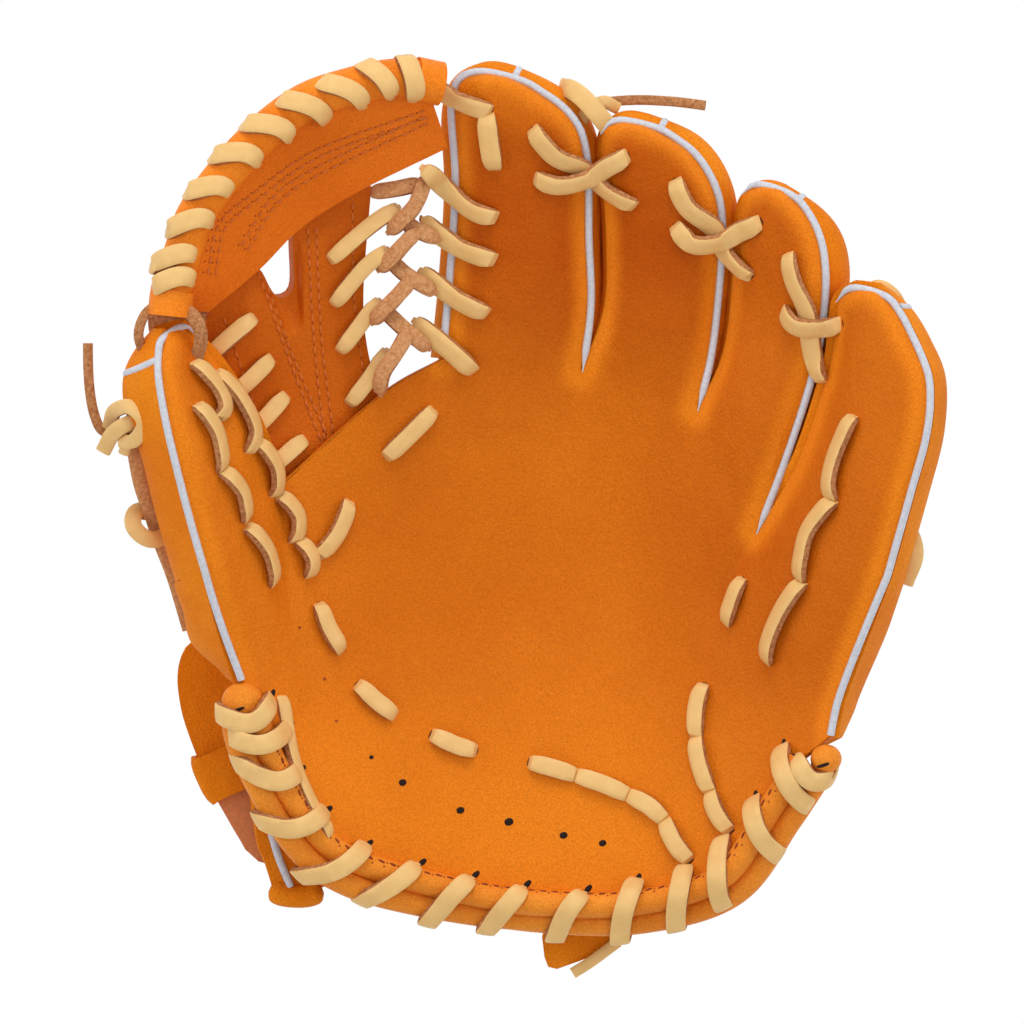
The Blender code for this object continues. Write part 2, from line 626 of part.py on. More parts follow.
def welt(name, patch, rows_left, body, outer="right"):
    """Grey welt beside the leather's edge, from the left edge over the tip and down the right edge."""
    normals = grid_normals(patch)
    left, right = patch[rows_left:, 0], patch[PALM_CELLS + 2:, -1]
    n_left, n_right = normals[rows_left:, 0], normals[PALM_CELLS + 2:, -1]
    if outer == "left":
        left, right = patch[1:, 0], patch[-2:, -1]
        n_left, n_right = normals[1:, 0], normals[-2:, -1]
    if outer == "far":
        left, right = patch[-2:, 0], patch[1:, -1]
        n_left, n_right = normals[-2:, 0], normals[1:, -1]
    line = np.vstack([left, right[::-1]])
    up = np.vstack([n_left, n_right[::-1]])
    along = np.gradient(line, axis=0)
    outward = np.cross(up, along)
    outward /= np.linalg.norm(outward, axis=1)[:, None]
    middle = line + outward * (WELT_DIAMETER / 2 + WELT_GAP) + up * WELT_RAISE
    return tube(name, middle, WELT_DIAMETER, "welt", body, sides=1)


def heel_rolls(name, line, look, body):
    """Two rolls side by side in one padded binding, swept along the heel."""
    profile = bpy.data.curves.new(name + "_section", "CURVE")
    profile.dimensions = "2D"
    spline = profile.splines.new("POLY")
    lobe = [math.radians(a) for a in (-120, -80, -40, 0, 40, 80, 120)]
    half, radius = ROLL_SPACING / 2, ROLL_DIAMETER / 2
    right = [(half + radius * math.cos(a), radius * math.sin(a)) for a in lobe]
    section = (right + [(-x, -y) for x, y in right])[::-1]
    spline.points.add(len(section) - 1)
    for point, (x, y) in zip(spline.points, section):
        point.co = (x * MM, y * MM, 0, 1)
    spline.use_cyclic_u = True
    guide = bpy.data.objects.new(name + "_section", profile)
    guide.hide_render = True
    guide.display_type = "WIRE"
    CUTTERS.objects.link(guide)
    obj = tube(name, line, ROLL_DIAMETER, look, body)
    obj.data.bevel_mode = "OBJECT"
    obj.data.bevel_object = guide
    obj.data.twist_mode = "Z_UP"
    return obj


def heel_pieces():
    """Rolled heel edge and its wound lace, parted at the two folds."""
    line = through(HEEL_LINE, HEEL_POINTS)
    line = np.column_stack([line, FRONT_HEIGHT(line) - ROLL_SINK])
    cuts = []
    for axis in (THUMB_AXIS, PINKY_AXIS):
        a, b = np.array(axis[0][:2]), np.array(axis[1][:2])
        along = (b - a) / np.linalg.norm(b - a)
        cuts.append(int(np.argmin(np.abs((line[:, :2] - a) @ np.array([along[1], -along[0]])))))
    spans = {"thumb_heel": (0, cuts[0] - 2, "thumb_side"), "heel": (cuts[0] + 1, cuts[1] - 1, "palm"),
             "pinky_heel": (cuts[1] + 2, len(line) - 1, "pinky_side")}
    for name, (first, last, body) in spans.items():
        run = line[first:last + 1]
        heel_rolls(name + "_roll", through(run, 16), "leather", body)
        margin = max(2, int(HEEL_BARE_ENDS * len(run)))
        winding(name + "_lace", run[margin:-margin], HEEL_TURNS[name], winding_radii(), body)


def web_pieces():
    """Rim, stitched band and post of the web, with the lace wound round the rim."""
    rim = through(RIM_LINE, RIM_POINTS)
    tube("web_rim", through(RIM_LINE, 24), RIM_DIAMETER, "leather", "thumb_side", sides=3)
    wound = RIM_DIAMETER / 2 + WIND_GAP
    winding("web_rim_lace", rim[6:-7], RIM_TURNS, (wound, wound), "thumb_side")
    along = np.gradient(rim[:, :2], axis=0)
    inward = np.stack([along[:, 1], -along[:, 0]], axis=1)
    inward /= np.linalg.norm(inward, axis=1)[:, None]
    setback = wound + LACE_THICK + BAND_GAP
    upper = through((rim[:, :2] + setback * inward)[2:-2], 15)
    lower = through(BAND_EDGE, 15)
    rise = np.linspace(0, 1, 5)[:, None, None]
    plan = lower[None] + rise * (upper - lower)[None]
    band = np.dstack([plan, WEB_HEIGHT(plan)])
    solid_sheet("web_band", [band], WEB_LEATHER, "leather", "thumb_side")
    sides = (through(POST_LEFT, 9), through(POST_RIGHT, 9))
    plan = coons(*sides, through(POST_FOOT, 13), through(POST_TOP, 13))
    post = np.dstack([plan, WEB_HEIGHT(plan)])
    solid_sheet("web_post", [post], WEB_LEATHER, "leather", "thumb_side")
    return sheet_mesh("web_front", [band, post])


def knot(name, place, body):
    """Tight round knot: a trefoil of cord."""
    phase = np.linspace(0, 2 * math.pi, 31)[:-1]
    ring = 2 + np.cos(3 * phase)
    shape = np.stack([ring * np.cos(2 * phase), 0.8 * ring * np.sin(2 * phase), np.sin(3 * phase)], axis=1)
    return tube(name, np.array(place) + KNOT_SIZE * shape, KNOT_CORD, "lace", body, closed=True, sides=1)


def flat_plate(name, outline, thickness, look, body):
    """Flat leather cut to an outline, its underside on the rest plane."""
    curve = bpy.data.curves.new(name, "CURVE")
    curve.dimensions = "2D"
    curve.fill_mode = "BOTH"
    curve.extrude = thickness / 2 * MM
    spline = curve.splines.new("POLY")
    spline.points.add(len(outline) - 1)
    for point, (x, y) in zip(spline.points, outline):
        point.co = (x * MM, y * MM, 0, 1)
    spline.use_cyclic_u = True
    obj = add_object(name, curve, look, body)
    obj.location.z = thickness / 2 * MM
    return obj


def strap_pieces():
    """Wrist strap with a rounded end and the keeper loop round it."""
    middle = through(STRAP_LINE, STRAP_CELLS + 1)
    along = np.gradient(middle, axis=0)
    across = np.cross(along, (0, 0, 1.0))
    across /= np.linalg.norm(across, axis=1)[:, None]
    reach = np.linspace(0, 1, STRAP_CELLS + 1)
    past = ((reach - STRAP_ROUND) / (1 - STRAP_ROUND)).clip(0)
    half = STRAP_WIDTH / 2 * np.sqrt(np.clip(1 - past ** 2, 0.06, 1))[:, None]
    grid = np.stack([middle - across * half, middle, middle + across * half], axis=1)
    solid_sheet("wrist_strap", [grid], STRAP_LEATHER, "leather", "wrist_strap", grow=1.0)
    spot = int(KEEPER_SPOT * STRAP_CELLS)
    side, run = across[spot], along[spot] / np.linalg.norm(along[spot])
    up = np.cross(side, run)
    centre = middle[spot] + up * STRAP_LEATHER / 2
    wide, tall = STRAP_WIDTH / 2 + KEEPER_CLEAR[0], STRAP_LEATHER / 2 + KEEPER_CLEAR[1]
    phase = np.linspace(0, 2 * math.pi, 17)
    round_x = np.sign(np.cos(phase)) * np.abs(np.cos(phase)) ** KEEPER_SQUARE
    round_z = np.sign(np.sin(phase)) * np.abs(np.sin(phase)) ** KEEPER_SQUARE
    loop = centre + wide * round_x[:, None] * side + tall * round_z[:, None] * up
    grid = np.stack([loop - run * KEEPER_WIDTH / 2, loop + run * KEEPER_WIDTH / 2], axis=1)
    solid_sheet("strap_keeper", [grid], KEEPER_LEATHER, "leather", "wrist_strap", grow=1.0)


def hinge_empty(name, axis):
    empty = bpy.data.objects.new(name, None)
    a, b = (Vector(p) * MM for p in axis)
    empty.matrix_world = Matrix.Translation((a + b) / 2)
    PARTS.objects.link(empty)
    return empty


def build():
    patches = front_patches()
    palm = [patches[k] for k in ("index", "middle", "ring")]
    thumb = [patches["triangle"], patches["thumb"]]
    pinky = [patches["pinky"]]
    fronts = []
    for name, grids, body in (("palm_leather", palm, "palm"), ("thumb_leather", thumb, "thumb_side"),
                              ("pinky_leather", pinky, "pinky_side")):
        fronts.append(solid_sheet(name, grids, LEATHER, "leather", body).data)
    tree = surface_tree(fronts)
    under = LEATHER + GAP
    deep = under + HEEL_PAD + GAP
    inside = [g[1:PALM_CELLS] for g in palm]
    solid_sheet("palm_lining", inside, LINING, "lining", "palm", under)
    thumb_inside = [patches["triangle"][1:PALM_CELLS - 1], patches["thumb"][1:PALM_CELLS - 1, 1:]]
    solid_sheet("thumb_pad", thumb_inside, HEEL_PAD, "felt", "thumb_side", under)
    solid_sheet("thumb_lining", thumb_inside, LINING, "lining", "thumb_side", deep)
    pinky_inside = [patches["pinky"][1:PALM_CELLS, :-1]]
    solid_sheet("pinky_pad", pinky_inside, HEEL_PAD, "felt", "pinky_side", under)
    solid_sheet("pinky_lining", pinky_inside, LINING, "lining", "pinky_side", deep)
    for name in ("index", "middle", "ring"):
        finger_back(name + "_back", patches[name])
    side_back("thumb_back", patches["thumb"], True, THUMB_FOLD_LINE, THUMB_BULGE, "thumb_side")
    side_back("pinky_back", patches["pinky"], False, PINKY_FOLD_LINE, PINKY_BULGE, "pinky_side")
    for name, first in (("index", PALM_CELLS + 3), ("middle", -2), ("ring", -2)):
        welt(name + "_welt", patches[name], first, "palm")
    welt("thumb_welt", patches["thumb"], 1, "thumb_side", "left")
    welt("pinky_welt", patches["pinky"], 1, "pinky_side", "far")
    flat_plate("hand_back", HAND_BACK, LEATHER, "leather", "palm")
    heel_pieces()
    web = web_pieces()
    strap_pieces()
    for name, (body, line) in SURFACE_LACES.items():
        ribbon(name, *drape(tree, line, LACE_LIFT, CROSSINGS.get(name)), "lace", body)
    for name, line in RING_PINKY_LACES.items():
        ribbon(name, *drape(tree, line, LACE_LIFT + WELT_CLEAR, CROSSINGS.get(name)), "lace", "pinky_side")
    both = surface_tree(fronts + [web])
    web_tree = surface_tree([web])
    bpy.data.meshes.remove(web)
    for number, line in enumerate(WEB_INDEX_RUNGS, 1):
        ribbon(f"web_index_lace_{number}", *drape(both, line, RUNG_LIFT), "lace", "thumb_side")
    for number, line in enumerate(WEB_THUMB_RUNGS, 1):
        ribbon(f"web_thumb_lace_{number}", *drape(web_tree, line, LACE_LIFT), "lace", "thumb_side")
    knot("fingertip_knot", FINGERTIP_KNOT, "palm")
    knot("thumb_knot", THUMB_KNOT, "thumb_side")
    up = np.array([0, 0, 1.0])
    for name, line, body in (("fingertip_lace_tail", FINGERTIP_TAIL, "palm"),
                             ("thumb_lace_tail", THUMB_TAIL, "thumb_side"),
                             ("thumb_edge_lace", THUMB_EDGE_LACE, "thumb_side")):
        middle = through(line, TAIL_POINTS)
        ribbon(name, middle, np.tile(up, (TAIL_POINTS, 1)), "suede", body, width=TAIL_WIDTH)


clear_scene()
PARTS = collection("baseball_glove")
CUTTERS = collection("guides")
HINGES = {
    "thumb_side": hinge_empty("thumb_fold", THUMB_AXIS),
    "pinky_side": hinge_empty("pinky_fold", PINKY_AXIS),
    "wrist_strap": hinge_empty("strap_fold", STRAP_AXIS),
}
build()
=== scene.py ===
"""Looks of the left-hand baseball glove, set on the frame of its CAD.

Frame: +X to the pinky, +Y to the fingertips, +Z out of the palm. Places and sizes below are in
millimetres and turn into metres where a mesh is made.
"""
import math

import bmesh
import bpy
import numpy as np
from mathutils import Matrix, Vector
from mathutils.bvhtree import BVHTree
from mathutils.kdtree import KDTree


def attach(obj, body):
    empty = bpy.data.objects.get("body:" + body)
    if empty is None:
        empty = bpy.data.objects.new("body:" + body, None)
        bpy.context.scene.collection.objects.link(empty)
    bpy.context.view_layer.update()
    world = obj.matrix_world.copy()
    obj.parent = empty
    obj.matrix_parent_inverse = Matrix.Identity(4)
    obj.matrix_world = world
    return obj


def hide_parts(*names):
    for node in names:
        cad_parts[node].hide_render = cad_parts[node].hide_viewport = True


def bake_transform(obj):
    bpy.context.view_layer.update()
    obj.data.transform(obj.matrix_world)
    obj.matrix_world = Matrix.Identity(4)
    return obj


MM = 0.001

# Sheets
LEATHER = 2.8
LINING = 1.2
HEEL_PAD = 6.0
WEB_LEATHER = 4.0
STRAP_LEATHER = 3.0
GAP = 0.3

# Laces: widths, thickness of a laid and of a loose one, cut-off corners and slight belly of the section
LACE_WIDTH = 6.4
POCKET_STRIP_WIDTH = 5.7
POST_STRIP_WIDTH = 5.2
THUMB_STRIP_WIDTH = 5.4
BRAID_WIDTH = 5.0
EDGE_LACE_WIDTH = 5.0
ROLL_STRIP_WIDTH = 5.0
TAIL_WIDTH = 3.2
LACE_THICK = 2.7
LOOSE_THICK = 0.8 * LACE_THICK
LACE_CORNER = 0.45
LACE_BELLY = 0.15

# A lace laid on leather: step along it, places across it where the leather is felt, share of the highest
# one, lift, depth, length and steepness of the dip at its ends, and how far it reaches past its line
LACE_STEP = 0.8
FEELERS = 5
RIDGE_SHARE = 0.6
LACE_LIFT = 0.1
END_DIP = 6.0
DIP_LENGTH = 2.6
DIP_POWER = 1.4
TUCK = 0.8
JOINT_TUCK = 0.5

# A leaning lace: length at its ends where it lies flat, lift in half widths, lean that hides its end slits
LEAN_LENGTH = 4.0
LEAN_LIFT = 0.35
STEEP_LEAN = 0.8

# A lace that crosses another: where it starts to rise, where it is fully over it, and the gap between them
CROSSING_START = 11.0
CROSSING_TOP = 3.5
CROSSING_GAP = 0.2

# Rounded lace ends: length hidden in the hole, length of the rounding, share of the width left at the end
END_HIDDEN = 0.9
END_ROUND = 3.8
END_SHARE = 0.32

# A turn of wound lace: step along it, share of its way that lies on the roll, points and lift there, how far
# its start reaches back and down into the hole, and shares of its way and drops where it goes on beneath
WOUND_STEP = 0.7
OVER_SHARE = 0.88
OVER_POINTS = 9
OVER_LIFT = 0.3
BRIDGE_PASSES = 10
HOLE_BACK = 2.2
HOLE_DOWN = 5.5
CORE_SHARE = 0.7
EDGE_DROP = 0.5
BENEATH_SHARE = 0.8
LAST_SHARE = 0.35
LAST_DROP = 1.0

# Normals of wound lace: how much they turn up on the inner side, how far along, and where the lean fades
INNER_UP = 1.4
INNER_SHARE = 0.6
LEAN_FADE = (0.35, 0.6)

# Welts in the seams: diameter, taper and point of their ends, place beside and above the seam, least spacing
# of seam points and how many make a step, cells that a welt goes on past the tip; then the flat branches
WELT_DIAMETER = 2.5
WELT_TAPER = 8.0
WELT_POINT = 0.15
WELT_OUT = 0.4
WELT_UP = 0.7
WELT_SPACING = 0.05
WELT_STRIDE = 4
TIP_OVERLAP = 6
BRANCH_THICK = 0.7
BRANCH_SINK = 0.5
BRANCH_POINTS = 24

# Rolls of the heel and rim of the web: diameters and spacing, how far the rolls' middle lies below the front,
# how far wound lace passes under them, sides of the tubes, and bodies of the heel's three pieces
ROLL_DIAMETER = 8.2
ROLL_SPACING = 7.8
ROLL_DROP = 1.0
ROLL_UNDER = 3.0
ROLL_SIDES = 16
HEEL_BODIES = {"thumb_heel": "thumb_side", "heel": "palm", "pinky_heel": "pinky_side"}
RIM_DIAMETER = 12.4
RIM_UNDER = 0.5
RIM_SIDES = 24
COLLAR_SIDES = 28

# Holes and slits: length and width, how far they sit below the surface in widths, place beside a lace's end
SLIT_SIZE = (3.4, 0.9)
SLIT_AHEAD = 0.6
HOLE_SINK = 0.25
HOLE_SIZE = (4.0, 2.4)
HOLE_AHEAD = 0.2
EYELET_RUN = (1, 0.3)
EYELET_SHAPE = 0.9

# Stitches: length, pitch, width and lift; and the needle holes between them, dark marks of painted shadow
WEB_STITCH = (2.4, 3.3, 1.0, 0.1)
HEEL_STITCH = (2.4, 3.6, 0.9, 0.0)
NEEDLE_SIZE = 0.9

# Front leather: setback from the middle of the heel rolls, crowns of the stalls
HEEL_SETBACK = 6.0
FINGER_CROWN = 7.0
THUMB_CROWN = 5.0
PINKY_CROWN = 6.0
CROWN_FULLNESS = 3.6
TIP_ROUND = 0.16
SIDE_CROWN_SPAN = (0.1, 0.5)
FINGER_CROWN_SPAN = (0.38, 0.62)

# Heel edge of the front: points left out at its corners, points along it, smoothing passes
EDGE_SKIP = 2
EDGE_POINTS = 120
EDGE_PASSES = 6


# Backs: place of their seams, depth of a fingertip, how far the thumb and pinky sides bulge
SEAM_INSET = 0.4
SEAM_DROP = 1.6
FINGERTIP_DEPTH = 14.0
THUMB_BULGE = 33.5
PINKY_BULGE = 19.5

# Wrist strap: widths, where it widens and where its end starts to round, as shares of its length
STRAP_WIDTH = 18.8
STRAP_NECK = 14.0
STRAP_WIDENS = (0.75, 0.88)
STRAP_END = 0.1

# Keeper: band width and thickness, clearance beside and over the strap, place along it, how square its
# section is and how much its edges draw in
KEEPER_WIDTH = 15.2
KEEPER_THICK = 1.8
KEEPER_BESIDE = 1.2
KEEPER_OVER = 0.9
KEEPER_SPOT = 0.748
KEEPER_POWER = 0.35
KEEPER_ROUNDING = 0.16

# Least points on a laid lace; smoothing passes for heights and normals of laid laces
# and for normals of loose ones, and how much these turn up
LEAST_POINTS = 8
HEIGHT_PASSES = 8
NORMAL_PASSES = 24
LOOSE_PASSES = 4
SLIGHTLY_UP = 0.05

# Mesh density: cells along the palm, along a stall, across a stall, round a back
PALM_CELLS = 48
STALL_CELLS = 54
CROSS_CELLS = 30
WIDE_CELLS = 44
BACK_CELLS = 26

# Linings and heel pads: first and last row of the front that they lie under, and columns left out at the
# pinky's outer side
INNER_START = PALM_CELLS // 8
PAD_END = PALM_CELLS - INNER_START
PINKY_PAD_TRIM = WIDE_CELLS // 4

# Mesh density: points on a curve between two given ones, on the heel's edge, rolls and stitch row, on the
# web's rim, band and post, on loose laces and tails, on the strap and round its keeper; sides of tubes, beads
CURVE_STEPS = 16
HEEL_EDGE_POINTS = 90
ROLL_POINTS = 241
HEEL_STITCH_POINTS = 121
RIM_POINTS = 121
BAND_POINTS = (25, 71)
POST_POINTS = (41, 61)
STITCH_ROW_POINTS = 40
BRAID_POINTS = 40
LOOSE_POINTS = 36
TAIL_POINTS = 60
STRAP_POINTS = (61, 11)
KEEPER_POINTS = (61, 9)
TUBE_SIDES = 12
BEAD_SIDES = 8
BEAD_RINGS = (-0.97, -0.7, 0.0, 0.7, 0.97)

# Angles in degrees from which an edge is shaded sharp: on leather and on laces
SHARP_LEATHER = 55.0
SHARP_LACE = 40.0

# Height over the whole glove from which places are dropped on it, and a height about half way up
SKY = 300.0
MID_LEVEL = 60.0

# Numbers for the mesh work: distance at which points merge, part of a direction that counts as upright,
# unit of the smooth heights, a number next to zero, and distance at which points are one
MERGE_DISTANCE = 0.02
UPRIGHT = 0.9
PLATE_SCALE = 100.0
TINY = 1e-12
SAME_PLACE = 0.001

# Fold axes on the front surface
THUMB_AXIS = ((-30.0, -112.0, 38.0), (-17.0, 150.0, 64.0))
PINKY_AXIS = ((34.0, -118.0, 38.0), (99.0, 85.0, 66.0))
FOLD_AXES = {"thumb_side": THUMB_AXIS, "pinky_side": PINKY_AXIS}

# Height of the front surface at chosen places: heel, pocket, thumb, fingers, pinky
SURFACE = (
    (-26, -110, 36), (8, -113, 34), (38, -110, 36), (-58, -88, 47), (68, -98, 46),
    (-75, -58, 55), (88, -76, 55), (-87, -45, 63), (102, -62, 63),
    (0, -78, 32), (0, -40, 30), (0, 0, 31), (35, -60, 33), (32, 0, 33),
    (-38, -60, 36), (-42, -15, 37), (-48, 22, 44), (-22, 58, 47),
    (-66, -55, 47), (-71, -15, 51), (-74, 17, 54),
    (-98, -9, 76), (-106, 23, 84), (-112, 52, 86), (-110, 67, 83),
    (-81, 35, 64), (-94, 57, 73), (-104, 66, 78),
    (22, 54, 42), (59, 42, 44), (78, 2, 48), (-19, 100, 53), (2, 95, 53), (-7, 150, 70),
    (46, 90, 53), (38, 134, 67), (84, 65, 55), (82, 114, 68),
    (76, -45, 44), (92, 0, 57), (104, 60, 69), (113, 82, 80),
    (112, -30, 71), (120, -11, 77), (127, 15, 83), (132, 40, 87), (124, 74, 84),
)

# Middle of the rolled heel edge, from the thumb side round to the pinky side
HEEL_LINE = (
    (-85.5, -55), (-82.5, -67), (-68, -93), (-52.2, -106), (-22, -114.4),
    (9, -119), (41, -119), (69.4, -110.2), (85.3, -88.4), (95.6, -72.6),
)

# Seam lines from the heel to a crotch, then from the crotch over the fingertip
THUMB_OUTER = ((-86.7, -44.5), (-92, -30), (-98, -9))
THUMB_OUTER_TIP = ((-98, -9), (-102.4, 6.4), (-106.6, 23), (-110.4, 40), (-112.5, 56), (-110.4, 67))
THUMB_INNER = ((-58, -86), (-67, -50), (-72, -15), (-74, 17))
THUMB_INNER_TIP = ((-74, 17), (-81, 35), (-87, 46), (-94.4, 57), (-101, 64), (-106, 68.5))
WEB_CROTCH = ((-74, 17), (-42, 46), (-21.7, 58))
INDEX_LEFT_TIP = ((-21.7, 58), (-19.2, 83), (-17.3, 114), (-18.6, 137), (-16.5, 146.8), (-8, 149.6))
INDEX_MIDDLE = ((3, -112), (7, -60), (12, 0), (22, 54))
INDEX_RIGHT_TIP = ((22, 54), (24.5, 75), (23.8, 97), (23.4, 121), (19.5, 134), (9.3, 142.6), (-1, 148.2))
MIDDLE_LEFT_TIP = ((22, 54), (29.5, 75), (30, 100), (28.5, 120), (29.5, 130.8), (35, 134.2))
MIDDLE_RING = ((20, -112), (34, -60), (47, 0), (59, 41.5))
MIDDLE_RIGHT_TIP = ((59, 41.5), (63.5, 62), (66.5, 95), (65, 111), (57.6, 123.5), (48, 130), (42, 132.8))
RING_LEFT_TIP = ((59, 41.5), (68, 62), (71.5, 95), (72.8, 106.5), (75, 111.2), (80, 113.6))
RING_RIGHT_TIP = ((78, 2.2), (86.5, 25), (96, 55), (99.5, 78), (98.5, 94), (94, 104.4), (86, 112.6))
PINKY_LEFT_TIP = ((78, 2.2), (91.5, 25), (101.5, 55), (103.5, 69), (105, 77.2), (110.5, 80.6))
PINKY_OUTER = ((102, -62.4), (104.6, -50.6), (112, -30.4), (119.7, -10.9))
PINKY_OUTER_TIP = (
    (119.7, -10.9), (127, 15.4), (132.2, 35), (132.8, 51), (128.5, 62.5), (123, 73), (116.5, 79.8),
)

# Web: middle of the rim, lower edge of the band, outline of the post, and heights
RIM_LINE = (
    (-109.5, 71.6, 81), (-108.5, 80, 81), (-105, 93, 82), (-100, 106, 83), (-85, 125, 84),
    (-68, 139, 83), (-52, 145, 81), (-36, 148, 78), (-22.8, 146, 74.5),
)
BAND_EDGE = ((-97, 73), (-80.6, 86.7), (-67.8, 99.5), (-50, 111), (-20.5, 125.5))
POST_LEFT = ((-74, 15.5), (-80.5, 34.5), (-86.5, 46), (-93.5, 57), (-100, 66))
POST_RIGHT = ((-41, 41), (-47, 60), (-48.6, 77), (-47, 106))
POST_TOP = (
    (-100, 66), (-88, 90), (-81, 87), (-77, 80), (-74, 77.5), (-70, 81), (-70, 98), (-66, 106), (-45, 113),
)
POST_FOOT = ((-74, 15.5), (-65, 21), (-54, 30), (-41, 41))
WEB_SURFACE = (
    (-100, 80, 78), (-92, 105, 81), (-78, 122, 82), (-60, 134, 80.5), (-40, 138, 77), (-25, 136, 73),
    (-97, 73, 71), (-80, 86, 68), (-66, 99, 67), (-50, 110, 66), (-24, 123, 66),
    (-65, 21, 46.2), (-54, 30, 43.4), (-41, 41, 41.3), (-83, 48, 56), (-48, 76, 53), (-91, 66, 66),
)

# Strips of lace on the front, by the node they stand for: body, which way the strip leans, middle lines
STRIPS = {
    "index_tip_lace": ("palm", (0.0, -0.3), (((-24, 145), (-16, 141), (-7, 137.5)),
                                             ((-8, 136.5), (-7, 128), (-5.5, 119)))),
    "index_middle_lace_a": ("palm", (-0.25, -0.6), (
        ((7, 131.5), (14, 123.5), (23, 119.5), (31, 112.5), (39, 107.5)),)),
    "index_middle_lace_b": ("palm", (0.15, -0.5), (
        ((8, 116), (15, 114.2), (23.7, 116.2), (31, 120.3), (36.6, 123.2)),)),
    "middle_ring_lace_a": ("palm", (-0.4, -0.4), (
        ((52.5, 115), (56.6, 107), (64.5, 100.5), (69, 92.5), (76.5, 84.7)),)),
    "middle_ring_lace_b": ("palm", (0.15, -0.5), (
        ((52.5, 100.5), (58, 95.4), (66, 96), (74, 99.6), (79.4, 101.8)),)),
    "ring_pinky_lace_a": ("pinky_side", (-0.6, -0.2), (
        ((89, 91.2), (91, 83), (95, 73.6), (96.5, 61.6), (99.5, 51.3)),)),
    "ring_pinky_lace_b": ("pinky_side", (0.05, -0.45), (
        ((87.5, 73.6), (91, 69.3), (97, 68.5), (105.3, 69.3)),)),
    "pocket_lace_heel": ("palm", (0.0, 0.0), (((-25.6, -62.4), (-18, -65.8), (-11.8, -67.5)),
                                              ((5.8, -71.2), (13, -73), (20.5, -75.3)),
                                              ((20.5, -75.3), (29, -78), (37.4, -81.6)))),
    "pocket_lace_1": ("thumb_side", (0.0, 0.0), (((-40.3, 27), (-33, 34), (-25.5, 41.5)),)),
    "pocket_lace_2": ("thumb_side", (0.35, 0.0), (((-62, -4.5), (-56.5, 2.5), (-52.5, 12)),)),
    "pocket_lace_3": ("thumb_side", (0.2, 0.0), (((-62, -20.8), (-59.5, -28), (-55, -35.2)),)),
    "pocket_lace_4": ("thumb_side", (0.0, 0.0), (((-49.3, -46.4), (-44, -51.5), (-38, -56)),)),
    "thumb_lace_outer": ("thumb_side", (1.1, 0.2), (((-101, 43), (-96, 35.6), (-94, 28.3), (-93.6, 22.4)),
                                                    ((-93.2, 22.4), (-87.7, 15.8), (-86, 9.3), (-85.6, 6.4)),
                                                    ((-85, 4.2), (-79.7, -2.6), (-77.4, -9.2), (-77, -14)))),
    "thumb_lace_inner": ("thumb_side", (1.1, 0.2), (((-102, 56.5), (-95.7, 49.6), (-92.8, 43), (-94.4, 39.4)),
                                                    ((-95, 53.3), (-88.4, 46), (-83.3, 35.6), (-84.8, 28.3)),
                                                    ((-82, 31.4), (-76.8, 24), (-76, 18), (-77, 14.4)),
                                                    ((-75.2, 14.4), (-70, 8.5), (-69.4, 3.3), (-70.4, -0.3)),
                                                    ((-68.6, -0.3), (-65, -6), (-65.3, -11.4)))),
    "pinky_lace": ("pinky_side", (-0.9, 0.1), (((109.6, 39.4), (104.5, 27.3), (102.4, 18.7), (102.9, 13.1)),
                                               ((103.3, 12.8), (96, 3.3), (93.4, -6), (92.7, -12.8)),
                                               ((93.4, -13.4), (87.4, -22.4), (83.2, -32), (82, -39)))),
    "pocket_lace_pinky": ("pinky_side", (-0.2, 0.0), (((61.5, -46.4), (59.7, -54), (59.2, -63)),
                                                      ((59.2, -63), (60.5, -71), (63.7, -80.5)),
                                                      ((63.7, -80.5), (66, -87), (70, -93)))),
}

# Heel palm lace that goes on to the pinky side, and the strip at the ring crotch
EXTRA_STRIPS = {
    "pocket_strip_low": ("pinky_side", (0.0, 0.0), (((37.4, -81.6), (44, -85), (49, -89.6)),
                                                    ((49, -89.6), (52.5, -97), (57, -102.5)))),
    "pocket_strip_high": ("pinky_side", (-0.4, 0.0), (((69, -26.5), (71.5, -19), (74, -12.8)),)),
}

# Laces between the web and the index finger: strip on the finger and strip on the post, their lifts, dips
# and leans
WEB_INDEX_STRIPS = (
    (((-28.5, 119), (-18.4, 111), (-12, 106), (-5.5, 103.5)), ((-37, 106), (-45.5, 100), (-58, 90))),
    (((-29, 102.5), (-17, 94.5), (-5.9, 90)), ((-40.5, 92.5), (-48.5, 86), (-57, 76))),
    (((-29, 86), (-17.7, 78), (-8.4, 73)), ((-43, 76), (-48, 70), (-55, 61))),
    (((-31, 70), (-19.2, 61), (-12.5, 54.5)), ((-40.5, 60), (-45, 53), (-52, 44))),
)
FINGER_STRIP_LIFT = 0.6
FINGER_STRIP_DIPS = (1.0, 5.0)
FINGER_STRIP_LEAN = (0, -0.3)
POST_STRIP_LEAN = (0, 0.3)

# Pairs of laces that cross, flesh side up, between the finger and the post: level at a place along the hand,
# slope, height of one over the other, bow and twist
WEB_BRAIDS = (
    (((-46, 111), (-37, 112), (-28, 114)), ((-28, 117), (-31, 107), (-36, 101), (-40, 98))),
    (((-36, 103), (-31, 99), (-23, 96)), ((-30, 100), (-35, 94), (-39, 89), (-43, 86))),
    (((-40, 90), (-34, 84.5), (-24, 79)), ((-32, 84), (-37.5, 77), (-41, 73), (-45, 69))),
    (((-42, 74), (-35, 67.5), (-26, 61)), ((-33, 68), (-37, 60), (-41, 53), (-42, 46))),
)
BRAID_LEVEL = 50.0
BRAID_LEVEL_AT = 60
BRAID_SLOPE = 0.16
BRAID_APART = 3.0
BRAID_BOW = 2.0
BRAID_TWIST = (0.4, 0.3)

